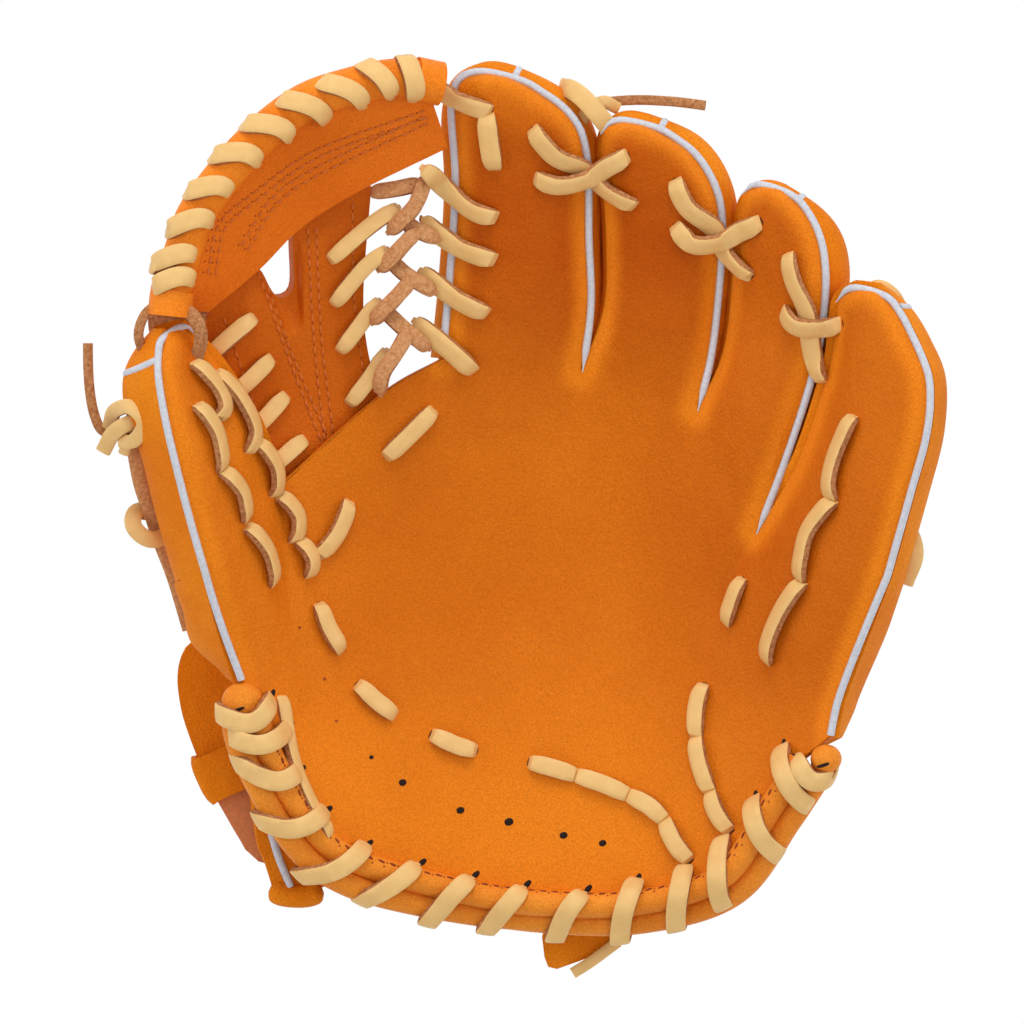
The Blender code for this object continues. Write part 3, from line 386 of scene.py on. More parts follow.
# Laces between the web and the thumb
WEB_THUMB_STRIPS = (
    ((-96, 59), (-90, 64.5), (-83, 71)), ((-89, 47), (-84, 51.5), (-77.5, 58)),
    ((-83.5, 34.5), (-78.5, 39.5), (-72.8, 46)), ((-77, 23), (-73, 26.5), (-66.8, 32)),
)
THUMB_STRIP_LIFT = 0.4
THUMB_STRIP_DIPS = (2.0, 5.0)
THUMB_STRIP_LEAN = (-0.2, 0.3)

# Where the upper lace of each crossed pair passes over the lower
CROSSINGS = {
    "index_middle_lace_b": (26, 117), "middle_ring_lace_b": (66, 96), "ring_pinky_lace_b": (95.5, 69),
}

# Loops from the rim's collar down to the thumb: middle lines and widths
THUMB_LOOPS = (
    (((-113, 76, 78), (-117.5, 72, 80), (-119.5, 66, 79), (-118, 60, 75)), 3.2),
    (((-106, 75, 80), (-101.5, 71, 84), (-99.5, 65, 83), (-101, 58.5, 79), (-103.5, 55, 75)), 4.4),
)

# Knots: strips folded over each other, by middle line and width; then a loop, the free tails and the lace
# along the thumb's edge
FINGERTIP_KNOT = (
    (((17, 144.5, 56), (19.5, 143.8, 62), (23, 141.2, 65.5), (27.5, 136.2, 65.5), (31.5, 131.2, 61),
      (32.5, 128.5, 55)), 6.2),
    (((33, 138.6, 57), (29, 140.2, 61), (24.5, 137.6, 61.5), (22, 133.6, 57)), 4.0),
)
THUMB_KNOT = (
    (((-128.6, 36.9, 57), (-126.8, 41.4, 65.5), (-121.8, 42.4, 75), (-117.8, 37.9, 76), (-120.3, 32.4, 72),
      (-124.3, 31.9, 66)), 4.8),
    (((-130.3, 29.4, 59), (-127.8, 33.9, 65), (-123.8, 36.9, 71), (-119.8, 37.9, 70)), 5.0),
    (((-123.8, 28.9, 60), (-122.3, 32.9, 66), (-120.8, 36.4, 70)), 3.6),
)
EDGE_LOOP = (((-109, 1.8, 46), (-116, 0.2, 51), (-121, 4.2, 52), (-120, 9, 49), (-112, 8, 43)), 5.4)
FINGERTIP_TAIL = (
    (22, 137.5, 55.7), (30, 140, 55.7), (40, 140.8, 56), (50, 140.4, 57), (56, 139.8, 58), (62, 139, 59),
)
THUMB_TAIL = (
    (-126, 35, 56.2), (-131, 35, 56.2), (-133.6, 40, 57), (-135, 47, 58), (-135.6, 55, 59), (-135.7, 63, 60),
)
THUMB_EDGE_LACE = (
    (-121, 30, 57), (-118.7, 18, 53), (-115.2, 8, 48), (-112.6, 0, 44), (-108, -12, 38), (-103.2, -28, 32),
)

# Loops behind the pinky: middle lines and widths
PINKY_LOOPS = (
    (((112.5, 77.3, 66), (117, 80.8, 70), (121.5, 78.5, 71), (124.5, 73.5, 67)), 5.0),
    (((122.6, 4, 56), (127.6, 2, 60), (129.2, -5, 60), (126.2, -13.3, 55)), 5.0),
)

# Lace laid along the thumb-side rolls under the turns, and the short lace end on the wrist flap
ROLL_STRIP = ((-74.5, -50), (-71.3, -69), (-66, -83), (-58.8, -95))
ROLL_STRIP_LIFT = -1.7
FLAP_END = (((19.5, -138.6, 2.6), (25.5, -134.8, 2.9), (34, -128.5, 3.0)), 3.6)

# Tongue between the rim's collar and the thumb tip: its left, right, lower and upper edges
TONGUE_EDGES = (
    ((-115, 61), (-116.5, 70), (-115, 79)), ((-101, 60), (-98, 69), (-99, 78)),
    ((-115, 61), (-108, 62), (-101, 60)), ((-115, 79), (-107, 80), (-99, 78)),
)
TONGUE_LEVEL = 70.0
TONGUE_POINTS = 9

# Back of the hand: outline from the wrist up to the finger backs, with a flap at the wrist
HAND_BACK = (
    (-30.2, -45), (-28.8, 5), (-23.5, 58.5), (22, 55.5), (60, 42), (69.5, 22), (75.5, 1), (60, -48.5),
    (36, -116), (33.5, -128.5), (30.7, -131), (22, -134.6), (14.4, -137.3), (11.6, -136.6), (10.4, -133.6),
    (9.6, -127), (13, -112), (13, -60), (2, -47),
)

# Middle line of the wrist strap, from the flap to its free end beside the thumb
STRAP_LINE = (
    (13.4, -109, 0), (-18, -107, 0), (-42, -102, 0.5), (-58, -101, 1.5), (-68, -97.5, 3),
    (-77.6, -96.8, 4.2), (-81.4, -91.8, 5), (-85.2, -85.3, 5.8), (-89.4, -77.8, 6.8), (-93.3, -69, 8),
    (-96, -57, 9.8), (-99.8, -31, 13),
)

# Wrist binding beside the strap: a leather panel from the thumb's back, the welt on it and the rolled cap
BINDING_FOOT = ((-76.5, -112, 16), (-68, -112.5, 16), (-60, -111, 16))
BINDING_LEFT = ((-79, -103, 16.5), (-82, -92, 17.5))
BINDING_RIGHT = ((-63, -102, 16), (-66, -91, 15))
BINDING_COLUMNS = slice(9, 19)
BINDING_WELT = ((-77, -94, 18.4), (-74.5, -102, 18.4), (-70.8, -111, 17.5))
BINDING_CAP = ((-77.5, -111.5, 15.5), (-73, -113.5, 15.5), (-66, -113.8, 15.5), (-60.5, -112, 15.5))
BINDING_CAP_DIAMETER = 7.6
BINDING_CAP_SIDES = 20
BINDING_CAP_ROUND = 7
BINDING_CAP_LEAST = 0.08
BINDING_POINTS = (25, 13)
BINDING_WELT_POINTS = 30
BINDING_CAP_POINTS = 40

# Parting line of ring and pinky between the heel and the crotch, on the pinky fold
PINKY_AXIS_PALM = ((52.6, -60.0), (64.8, -22.0))

# Soft folds: reach beside an axis, for the front leather and for the backs
FOLD_REACH = 14.0
BACK_REACH = 40.0

# How far each finger back stands out: past its left seam, past its right seam low down and near the tip,
# and over the tip; and between which shares of the stall one turns into the next
FINGER_SWELLS = {
    "index": (4.6, 5.2, 6.0, 3.6), "middle": (1.2, 6.2, 6.8, 3.4), "ring": (1.2, 6.6, 9.0, 1.6),
}
WALL_TO_TOP = (0.75, 1.0)
SIDE_TO_TIP = (0.5, 0.75)
TIP_TO_TOP = (0.8, 1.0)

# Hull of a finger back: cells over the tip, smoothing passes of the hull and of its outward directions, share
# of the finger that the spine reaches, how sharply it rises at the tip
TIP_CELLS = 8
HULL_PASSES = 12
OUTWARD_PASSES = 12
SPINE_REACH = 0.86
TIP_POWER = 6

# How much of a hull's pull shows as swell, how much its way in to the spine takes off, drop of its upper
# and lower control rows, pull of the lower one
HULL_PEAK = 0.57
HULL_LOSS = 1.1
UPPER_DROP = 0.2
LOWER_DROP = 0.95
LOWER_PULL = 0.5

# Thumb and pinky backs: how much fuller they are at their tips and where, where they swell from the heel,
# where the hand turns into the stall in palm lengths, reach of the inner pull, fall of the outer side, depths
# of the stall, and the least share left at the tip
THUMB_TIP_SHARE = 1.5
PINKY_TIP_SHARE = 1.2
TIP_FULL_SPAN = (0.74, 0.95)
HEEL_FULL_SPAN = (-0.1, 0.08)
STALL_SPAN = (0.62, 1.12)
INNER_REACH = 0.45
OUTER_FALL = 0.75
INNER_DEPTH = 34
OUTER_DEPTH = 36
LEAST_SHARE = 0.02

# Short welts over the fingertips, by where they leave the seam, and how far round the back they go
WELT_BRANCHES = {
    "index": (0.6, 147.5), "middle": (47.5, 131.0), "ring": (91.5, 109.0), "pinky": (124.0, 74.2),
    "thumb": (-112.8, 56.6),
}
BRANCH_CELLS = 11

# Inner edges of the thumb and pinky backs, along the folds near the rest plane
THUMB_FOLD_LINE = (
    (-33, -92, 3.8), (-29.5, -50, 3.8), (-27, 0, 3.8), (-38, 15, 12), (-56, 13, 24), (-72, 11, 38),
)
PINKY_FOLD_LINE = ((44.5, -92, 3.8), (59, -48, 3.8), (71, -12, 5.8), (79.5, 1, 30))

# Heel lace: each turn by the hole it comes up through, its top and the place where it goes round the rolls
HEEL_WRAPS = {
    "thumb_heel": (
        ((-76.5, -49), (-83.5, -58.5), (-92.5, -55)), ((-70.5, -59), (-80.5, -65.5), (-89, -62)),
        ((-67, -73), (-76.5, -77), (-87.5, -70)), ((-58.5, -86), (-69.5, -92), (-80.5, -88.5)),
        ((-45.5, -97), (-56, -105), (-67.5, -106.5)),
    ),
    "heel": (
        ((-28.5, -103), (-38, -110), (-48, -114.5)), ((-11.5, -107), (-19.5, -114), (-27, -121.5)),
        ((5, -110), (-2, -117.5), (-8.5, -124)), ((24.5, -111.5), (18, -118.5), (13.5, -126.5)),
    ),
    "pinky_heel": (
        ((40.5, -108), (36, -118.5), (34, -128)), ((56, -103.5), (53.3, -115), (52, -124)),
        ((68.5, -94), (66, -106), (67, -117)), ((78, -81.5), (78.3, -92), (84.5, -101)),
        ((87, -65), (87.5, -76), (94, -85)), ((90.5, -69), (96, -77), (102.5, -73.5)),
    ),
}

# Rim lace: each turn by its hole in the band, its top and its outermost place
RIM_WRAPS = (
    ((-31, 139.5), (-32, 148), (-35, 154.5)), ((-37.5, 141), (-42, 148), (-48.5, 152)),
    ((-46, 138.5), (-52.5, 144), (-62, 146)), ((-58, 133.5), (-65, 139), (-74.5, 140.5)),
    ((-69.5, 128), (-76, 132.5), (-86, 132.5)), ((-79.5, 120.5), (-86.5, 124), (-96, 122)),
    ((-88.5, 111.5), (-95, 113.5), (-104, 110.5)), ((-94.5, 102), (-101.5, 103), (-110, 98.5)),
    ((-100, 91.5), (-107, 91.5), (-115, 87)), ((-100.5, 83), (-107, 84.5), (-114.5, 80.5)),
)

# Rolls of the heel: how far the outer roll sinks under the inner one, in degrees along the heel
ROLL_TILT = ((0.0, 0.0), (0.28, 8.0), (0.5, 50.0), (0.72, 38.0), (1.0, 15.0))

# Stitch rows on the web, by their middle lines
WEB_STITCHES = (
    ((-28.5, 136), (-61.5, 124), (-82, 110), (-93, 100), (-96, 86)),
    ((-28.5, 134), (-61.5, 118.5), (-76, 108.5), (-85, 94.5)),
)
POST_STITCHES = (
    ((-81, 84.8), (-71, 57), (-60.5, 30)), ((-78, 80), (-69, 56), (-58.5, 32)),
    ((-65.3, 98.9), (-63.5, 65), (-60.2, 33)), ((-62.7, 98.9), (-61, 65), (-57.5, 36)),
    ((-91.8, 70), (-85, 50), (-78.4, 32)), ((-51, 106.9), (-50.5, 77), (-47, 49)),
)
STITCH_ROWS_APART = 2.4

# Web: share of the rim's radius that covers the band, rim points left out at the band's ends, how deep and
# where the post goes under the band, and the collars on the rim's ends
BAND_COVERED = 0.8
BAND_SKIP = 2
POST_TUCK = 5.0
POST_TUCK_SPAN = (0.72, 0.95)
RIM_COLLAR_CELLS = 9
COLLAR_STAND = 1.8

# Wound lace: which way it leans, how far it stands past its outermost place, and how far its hole is drawn in
RIM_LEAN = (0.35, 0.3)
HEEL_LEAN = (0.12, -0.08)
WRAP_ROUNDING = {"thumb_heel": 0.0, "heel": 0.0, "pinky_heel": -0.8, "rim": -2.4}
WRAP_PULL = {"thumb_heel": 3.0, "heel": 4.2, "pinky_heel": 2.4, "rim": 3.2}

# Stitch row inside the heel rolls: its inset, and the stretch of it on each body
HEEL_STITCH_INSET = 6.6
HEEL_STITCH_SPANS = {"thumb_side": (8, 38), "palm": (37, 84), "pinky_side": (83, 116)}

# Caps on the ends of the heel rolls: place, half sizes and body; facets, and the slit's size, place in half
# sizes, run and normal
END_CAPS = (((-86.3, -51.5), (6.6, 6.0, 5.0), "thumb_side"), ((100.5, -70), (5.0, 4.6, 4.4), "pinky_side"))
CAP_FACETS = (28, 18)
CAP_SLIT = (4.6, 1.5)
CAP_SLIT_PLACE = (-0.2, -0.45, 0.8)
CAP_SLIT_RUN = (1, 0.5, 0)
CAP_SLIT_NORMAL = (-0.2, -0.5, 0.8)

# Lace holes without a lace in the palm, and small dimples beside the thumb: places and sizes
EYELETS = (
    ((-45, -69.5), 1.9), ((-35, -77.6), 3.2), ((-16.5, -86.5), 3.2), ((-1, -90.2), 3.6), ((16.5, -94.5), 3.2),
    ((29, -97), 3.0),
)
DIMPLES = (((-60, -44.5), 1.5), ((-56.2, -57.9), 1.3), ((-68, -28), 1.5))

# Stage, in metres: floor, width of the picture, camera, surrounding light, lamps by place, size and watts
FLOOR_LEVEL = -0.0005
FRAME_WIDTH = 0.32768
CAMERA_PLACE = (0.0, 0.00896, 2.0)
AMBIENT = 0.32
LIGHTS = (
    ("key_from_fingertips", (0.0, 1.7, 1.15), 1.2, 20.0),
    ("overhead", (0.0, 0.1, 1.9), 1.6, 9.0),
    ("left_soft", (-1.6, 0.2, 0.9), 1.2, 9.0),
    ("right_soft", (1.6, 0.2, 0.9), 1.2, 7.0),
    ("fill_from_heel", (0.3, -1.5, 0.9), 1.2, 5.0),
)
FLOOR_SIZE = 3.0
LIGHT_AIM = (0, 0, 0.04)
FAR_CLIP = 20.0

# Leather finish: roughness, shine and its tint; share of the broad clouds and of the fine grain, noise values
# between which they go from dark to light, and shade of the grain
LEATHER_ROUGHNESS = 0.52
LEATHER_SHINE = 0.24
SHINE_TINT = (1.0, 0.72, 0.3, 1.0)
CLOUD_SHARE = 0.34
CLOUD_SPAN = (0.36, 0.66)
GRAIN_SHARE = 0.85
GRAIN_SPAN = (0.36, 0.62)
GRAIN_SHADE = (0.78, 0.69, 0.58, 1.0)

# Leather patterns: how fine the clouds, grain, folds, wrinkles and pebbles are, and their stretch
CLOUD_SCALE = 26
GRAIN_SCALE = 1700
FOLD_SCALE = 42
FOLD_STRETCH = (1, 0.45, 1)
WRINKLE_SCALE = 150
WRINKLE_STRETCH = (1, 0.4, 1)
PEBBLE_SCALE = 900

# Leather bumps: strength and depth of folds, wrinkles and pebbles
FOLD_BUMP = (0.6, 2.8)
WRINKLE_BUMP = (0.5, 1.0)
PEBBLE_BUMP = (0.5, 0.3)

# Plain materials: how fine and deep the grain is, and how dark
PLAIN_GRAIN = 900
PLAIN_DEPTH = 0.1
PLAIN_SHADE = 0.8

# Painted light and shade on the front: how light it is painted along the hand, across it on the palm and
# across the stalls, where the palm's painted shade fades out and the stalls' comes in, and the painted
# highlight on the rolled edges beside the seams
PAINTED_LIGHT_ALONG = (
    (-110, 0.9), (-80, 0.8), (-45, 0.55), (0, 0.5), (30, 0.58), (60, 0.35), (90, 0.1), (125, 0.15),
    (150, 0.7),
)
PAINTED_LIGHT_ACROSS = ((-80, 0.16), (-40, -0.04), (30, 0.0), (65, -0.16), (110, -0.1))
PAINTED_LIGHT_OF_STALLS = ((20, 0.0), (50, 0.03), (80, 0.14), (110, 0.2))
PALM_FADE = (25, 60)
STALL_FADE = (40, 75)
LIP_HIGHLIGHT = 0.9
LIP_HIGHLIGHT_SPAN = (1.5, 9.0)
THUMB_LIP_START = PALM_CELLS + 30


def unit(rows):
    """Vectors brought to length one."""
    return rows / np.linalg.norm(rows, axis=-1, keepdims=True)


def arc_length(line):
    """Length along a line up to each of its points."""
    return np.concatenate([[0], np.cumsum(np.linalg.norm(np.diff(line, axis=0), axis=1))])


def to_the_right(line):
    """Flat unit directions to the right of a flat line."""
    along = np.gradient(line, axis=0)
    return unit(np.stack([along[:, 1], -along[:, 0]], axis=1))


def nearest_row(rows, spot):
    """Which of the rows lies nearest to a place."""
    return int(np.argmin(np.linalg.norm(rows - np.array(spot), axis=1)))


def nearest_to_axis(rows, axis):
    """Which of the flat rows lies nearest to a fold axis."""
    a, b = np.array(axis[0][:2]), np.array(axis[1][:2])
    along = unit(b - a)
    return int(np.argmin(np.abs((rows - a) @ np.array([along[1], -along[0]]))))


def through(points, count):
    """Smooth curve through the points, sampled at even steps."""
    pts = np.array(points, float)
    ends = np.vstack([2 * pts[0] - pts[1], pts, 2 * pts[-1] - pts[-2]])
    steps = np.linspace(0, 1, CURVE_STEPS, endpoint=False)[:, None]
    pieces = []
    for a, b, c, d in zip(ends, ends[1:], ends[2:], ends[3:]):
        bend = (2 * a - 5 * b + 4 * c - d) * steps ** 2 + (3 * b - a - 3 * c + d) * steps ** 3
        pieces.append(0.5 * (2 * b + (c - a) * steps + bend))
    return even_steps(np.vstack(pieces + [pts[-1:]]), count)


def even_steps(points, count):
    """A line of points sampled again at even steps."""
    arc = arc_length(points)
    wanted = np.linspace(0, arc[-1], count)
    return np.stack([np.interp(wanted, arc, points[:, k]) for k in range(points.shape[1])], axis=1)


def squared_distances(places, centres):
    """Squared distance of each flat place to each centre."""
    return ((places[:, None, :] - centres[None]) ** 2).sum(2)


def plate_bend(squared):
    """Rise of a thin plate around a push, by the squared distance from it."""
    return squared * np.log(squared + TINY)


def thin_plate(points):
    """Smooth height over the plane through points of x, y and height."""
    pts = np.array(points, float)
    centres = pts[:, :2] / PLATE_SCALE
    count = len(pts)
    plane = np.hstack([np.ones((count, 1)), centres])
    system = np.block([[plate_bend(squared_distances(centres, centres)), plane], [plane.T, np.zeros((3, 3))]])
    weights = np.linalg.solve(system, np.concatenate([pts[:, 2], np.zeros(3)]))

    def height(places):
        """Height at any flat places."""
        flat = np.asarray(places, float).reshape(-1, 2) / PLATE_SCALE
        values = plate_bend(squared_distances(flat, centres)) @ weights[:count]
        values += np.hstack([np.ones((len(flat), 1)), flat]) @ weights[count:]
        return values.reshape(np.shape(places)[:-1])

    return height


def coons(left, right, bottom, top):
    """Flat patch between four edges that meet at its corners."""
    t = np.linspace(0, 1, len(left))[:, None, None]
    s = np.linspace(0, 1, len(bottom))[None, :, None]
    ruled = (1 - s) * left[:, None] + s * right[:, None]
    lofted = (1 - t) * bottom[None] + t * top[None]
    corners = (1 - t) * ((1 - s) * left[0] + s * right[0]) + t * ((1 - s) * left[-1] + s * right[-1])
    return ruled + lofted - corners


def smoothstep(low, high, value):
    """Soft step from 0 at the low value to 1 at the high one."""
    part = np.clip((value - low) / (high - low), 0, 1)
    return part * part * (3 - 2 * part)


def heel_part(edge, start, end, cells):
    """Stretch of the heel edge between two of its points, in that many cells."""
    middle = edge[nearest_row(edge, start) + 1:nearest_row(edge, end)]
    return through(np.vstack([[start], middle, [end]]), cells + 1)


def on_heel(edge, axis):
    """Point where the heel edge meets a fold axis."""
    a, b = np.array(axis[0][:2]), np.array(axis[1][:2])
    along = unit(b - a)
    return a + along * ((edge[nearest_to_axis(edge, axis)] - a) @ along)


def grid_normals(grid):
    """Unit normals at the points of a grid."""
    normal = np.cross(np.gradient(grid, axis=1), np.gradient(grid, axis=0))
    return normal / np.maximum(np.linalg.norm(normal, axis=2, keepdims=True), TINY)


def heel_edge():
    """Lower edge of the front leather, at the inner side of the heel rolls."""
    line = through(HEEL_LINE, HEEL_EDGE_POINTS)
    moved = (line - HEEL_SETBACK * to_the_right(line))[EDGE_SKIP:-EDGE_SKIP]
    whole = np.vstack([THUMB_OUTER[:1], moved, PINKY_OUTER[:1]])
    return evened(even_steps(whole, EDGE_POINTS), EDGE_PASSES)


def seam(palm_line, tip_line):
    """Seam from the heel to the crotch and on over the fingertip."""
    lower = through(palm_line, PALM_CELLS + 1)
    upper = through(tip_line, STALL_CELLS + 1)
    return np.vstack([lower, upper[1:]])


def crowned(plan, crown, start, end):
    """Raise a flat patch to the surface, with a crown across it that grows towards the tip."""
    rows, columns = plan.shape[:2]
    rise = smoothstep(start, end, np.linspace(0, 1, rows))[:, None]
    across = 1 - np.abs(2 * np.linspace(0, 1, columns)[None] - 1) ** CROWN_FULLNESS
    to_tip = np.clip((1 - np.linspace(0, 1, rows)) / TIP_ROUND, 0, 1)[:, None]
    rise = rise * np.sqrt(1 - (1 - to_tip) ** 2)
    z = FRONT_HEIGHT(plan) + crown * rise * across
    return np.dstack([plan, z])


def front_seams(edge):
    """Left and right seams of the six front patches, from the heel edge up."""
    thumb_corner = edge[nearest_row(edge, THUMB_INNER[0])]
    index_heel = edge[np.argmin(np.abs(edge[:, 0] - INDEX_MIDDLE[0][0]))]
    middle_heel = edge[np.argmin(np.abs(edge[:, 0] - MIDDLE_RING[0][0]))]
    fold_line = (on_heel(edge, THUMB_AXIS), np.array(WEB_CROTCH[-1]))
    ring_pinky = (on_heel(edge, PINKY_AXIS), *PINKY_AXIS_PALM, RING_RIGHT_TIP[0])
    inner = (thumb_corner,) + THUMB_INNER[1:]
    index_middle = (index_heel,) + INDEX_MIDDLE[1:]
    middle_ring = (middle_heel,) + MIDDLE_RING[1:]
    return {
        "thumb": (seam(THUMB_OUTER, THUMB_OUTER_TIP), seam(inner, THUMB_INNER_TIP)),
        "triangle": (through(inner, PALM_CELLS + 1), through(fold_line, PALM_CELLS + 1)),
        "index": (seam(fold_line, INDEX_LEFT_TIP), seam(index_middle, INDEX_RIGHT_TIP)),
        "middle": (seam(index_middle, MIDDLE_LEFT_TIP), seam(middle_ring, MIDDLE_RIGHT_TIP)),
        "ring": (seam(middle_ring, RING_LEFT_TIP), seam(ring_pinky, RING_RIGHT_TIP)),
        "pinky": (seam(ring_pinky, PINKY_LEFT_TIP), seam(PINKY_OUTER, PINKY_OUTER_TIP)),
    }


def front_patches():
    """The six patches of the front leather as grids of points, rows from heel to tip."""
    edge = heel_edge()
    crowns = {
        "thumb": (THUMB_CROWN, *SIDE_CROWN_SPAN),
        "triangle": (0.0, 0, 1),
        "pinky": (PINKY_CROWN, *SIDE_CROWN_SPAN),
    }
    patches = {}
    for name, (left, right) in front_seams(edge).items():
        cells = WIDE_CELLS if name in crowns else CROSS_CELLS
        bottom = heel_part(edge, left[0], right[0], cells)
        top = through(WEB_CROTCH if name == "triangle" else (left[-1], right[-1]), cells + 1)
        crown, start, end = crowns.get(name, (FINGER_CROWN, *FINGER_CROWN_SPAN))
        patches[name] = crowned(coons(left, right, bottom, top), crown, start, end)
    return patches


def tidy_mesh(name, bm, looks, sharp=SHARP_LEATHER):
    """Finish a bmesh as a smooth mesh with its materials."""
    bmesh.ops.recalc_face_normals(bm, faces=bm.faces[:])
    mesh = bpy.data.meshes.new(name)
    bm.to_mesh(mesh)
    bm.free()
    for look in looks:
        mesh.materials.append(look)
    mesh.shade_smooth()
    mesh.set_sharp_from_angle(angle=math.radians(sharp))
    return mesh


def add_object(name, mesh):
    """Put a mesh in the scene as an object."""
    obj = bpy.data.objects.new(name, mesh)
    bpy.context.scene.collection.objects.link(obj)
    return obj


def add_grid(bm, grid):
    """Add a grid of points to a mesh, rows by columns."""
    rows, columns = grid.shape[:2]
    verts = [[bm.verts.new(Vector(point) * MM) for point in row] for row in grid]
    for r in range(rows - 1):
        for c in range(columns - 1):
            corners = (verts[r][c], verts[r][c + 1], verts[r + 1][c + 1], verts[r + 1][c])
            bm.faces.new(corners)


def open_sheet(name, grids):
    """One open surface from grids that share edges."""
    bm = bmesh.new()
    for grid in grids:
        add_grid(bm, grid)
    bmesh.ops.remove_doubles(bm, verts=bm.verts[:], dist=MERGE_DISTANCE * MM)
    mesh = bpy.data.meshes.new(name)
    bm.to_mesh(mesh)
    bm.free()
    mesh.shade_smooth()
    return mesh


def solid_sheet(name, grids, thickness, look, depth=0.0, grow=-1.0):
    """A sheet of even thickness whose top lies a depth below the given surface."""
    obj = add_object(name, open_sheet(name, grids))
    obj.data.materials.append(look)
    if depth:
        sink = obj.modifiers.new("sink", "DISPLACE")
        sink.strength = -depth * MM
        sink.mid_level = 0.0
    thick = obj.modifiers.new("thickness", "SOLIDIFY")
    thick.thickness = thickness * MM
    thick.offset = grow
    return settle(obj)


def settle(obj):
    """Apply an object's modifiers."""
    graph = bpy.context.evaluated_depsgraph_get()
    mesh = bpy.data.meshes.new_from_object(obj.evaluated_get(graph))
    old = obj.data
    obj.modifiers.clear()
    obj.data = mesh
    mesh.name = obj.name
    bpy.data.meshes.remove(old)
    mesh.set_sharp_from_angle(angle=math.radians(SHARP_LEATHER))
    return obj


def add_sweep(bm, middle, normals, section, marks=None, scale=None):
    """Sweep a closed section of across and up offsets along a line, with closed ends."""
    along = np.gradient(middle, axis=0)
    across = unit(np.cross(along, normals))
    up = unit(np.cross(across, along))
    scale = np.ones(len(middle)) if scale is None else scale
    section = np.array(section, float)
    rings = []
    for k, point in enumerate(middle):
        spots = point + scale[k] * (section[:, :1] * across[k] + section[:, 1:] * up[k])
        rings.append([bm.verts.new(Vector(spot) * MM) for spot in spots])
    count = len(section)
    for first, second in zip(rings, rings[1:]):
        for j in range(count):
            face = bm.faces.new((first[j], first[(j + 1) % count], second[(j + 1) % count], second[j]))
            face.material_index = marks[j] if marks else 0
    for ring in (rings[0], rings[-1]):
        face = bm.faces.new(ring)
        face.material_index = max(marks) if marks else 0


def round_section(diameter, sides=TUBE_SIDES):
    """Points round a circle."""
    turn = np.linspace(0, 2 * math.pi, sides, endpoint=False)
    return np.stack([np.cos(turn), np.sin(turn)], axis=1) * diameter / 2


def lace_section(width, thick):
    """Section of a flat lace, its smooth face up, and which look each side has."""
    half, corner, belly = width / 2, LACE_CORNER, LACE_BELLY
    points = [(-half + corner, thick), (-half / 3, thick + belly), (half / 3, thick + belly),
              (half - corner, thick), (half, thick - corner), (half, corner), (half - corner, 0),
              (0, -belly), (-half + corner, 0), (-half, corner), (-half, thick - corner)]
    marks = [0, 0, 0, 0, 1, 1, 1, 1, 1, 1, 0]
    return points, marks


def end_rounding(middle):
    """Shares of a lace's width along it: full, and rounded off at both ends as seen from above."""
    reach = arc_length(middle[:, :2])
    far = np.minimum(reach, reach[-1] - reach)
    part = np.clip((far - END_HIDDEN) / END_ROUND, 0, 1)
    return END_SHARE + (1 - END_SHARE) * np.sqrt(1 - (1 - part) ** 2)


def lace_piece(name, runs, width=LACE_WIDTH, thick=LACE_THICK, looks=None, cut_square=False):
    """A lace made of runs, each a middle line with its normals and, where it differs, its own width."""
    bm = bmesh.new()
    for middle, normals, *own_width in runs:
        section, marks = lace_section(own_width[0] if own_width else width, thick)
        add_sweep(bm, middle, normals, section, marks, None if cut_square else end_rounding(middle))
    return add_object(name, tidy_mesh(name, bm, looks or [LACE, SUEDE], SHARP_LACE))


def tube_piece(name, lines, diameter, look, sides=TUBE_SIDES):
    """Round tubes along lines, as one piece."""
    bm = bmesh.new()
    for line in lines:
        add_sweep(bm, line, steady_normals(line), round_section(diameter, sides))
    return add_object(name, tidy_mesh(name, bm, [look]))


def steady_normals(line):
    """Normals along a line that turn as little as they can."""
    along = unit(np.gradient(line, axis=0))
    start = np.array([0, 0, 1.0]) if abs(along[0, 2]) < UPRIGHT else np.array([1.0, 0, 0])
    normals = []
    for direction in along:
        start = unit(start - direction * (start @ direction))
        normals.append(start)
    return np.array(normals)


def surface_tree(meshes):
    """Search tree over open surfaces, in millimetres."""
    verts, faces = [], []
    for mesh in meshes:
        start = len(verts)
        verts += [v.co / MM for v in mesh.vertices]
        faces += [[start + i for i in p.vertices] for p in mesh.polygons]
    return BVHTree.FromPolygons(verts, faces)


def drop(tree, spot):
    """Where a place dropped from above meets a surface, and the normal there, or nothing beside it."""
    return tree.ray_cast(Vector((*spot, SKY)), Vector((0, 0, -1)))[:2]


def height_on(tree, spot):
    """Height of a surface at a place, or of its nearest point where the place is off the surface."""
    hit = drop(tree, spot)[0]
    if hit is None:
        level = tree.find_nearest(Vector((*spot, MID_LEVEL)))[0].z
        hit = tree.find_nearest(Vector((*spot, level)))[0]
    return hit.z


def lengthened(line, tuck):
    """A line with both its ends drawn out."""
    line = np.array(line, float)
    for end, beside_it in ((0, 1), (-1, -2)):
        line[end] += tuck * unit(line[end] - line[beside_it])
    return line


def felt_height(tree, spot, side):
    """Height of a lace on the leather under it, and the slope across it."""
    offsets = np.linspace(-LACE_WIDTH / 2, LACE_WIDTH / 2, FEELERS)
    heights = np.array([height_on(tree, spot + side * off) for off in offsets])
    slope = np.polyfit(offsets, heights, 1)[0]
    levels = heights - slope * offsets
    return RIDGE_SHARE * levels.max() + (1 - RIDGE_SHARE) * levels.mean(), slope


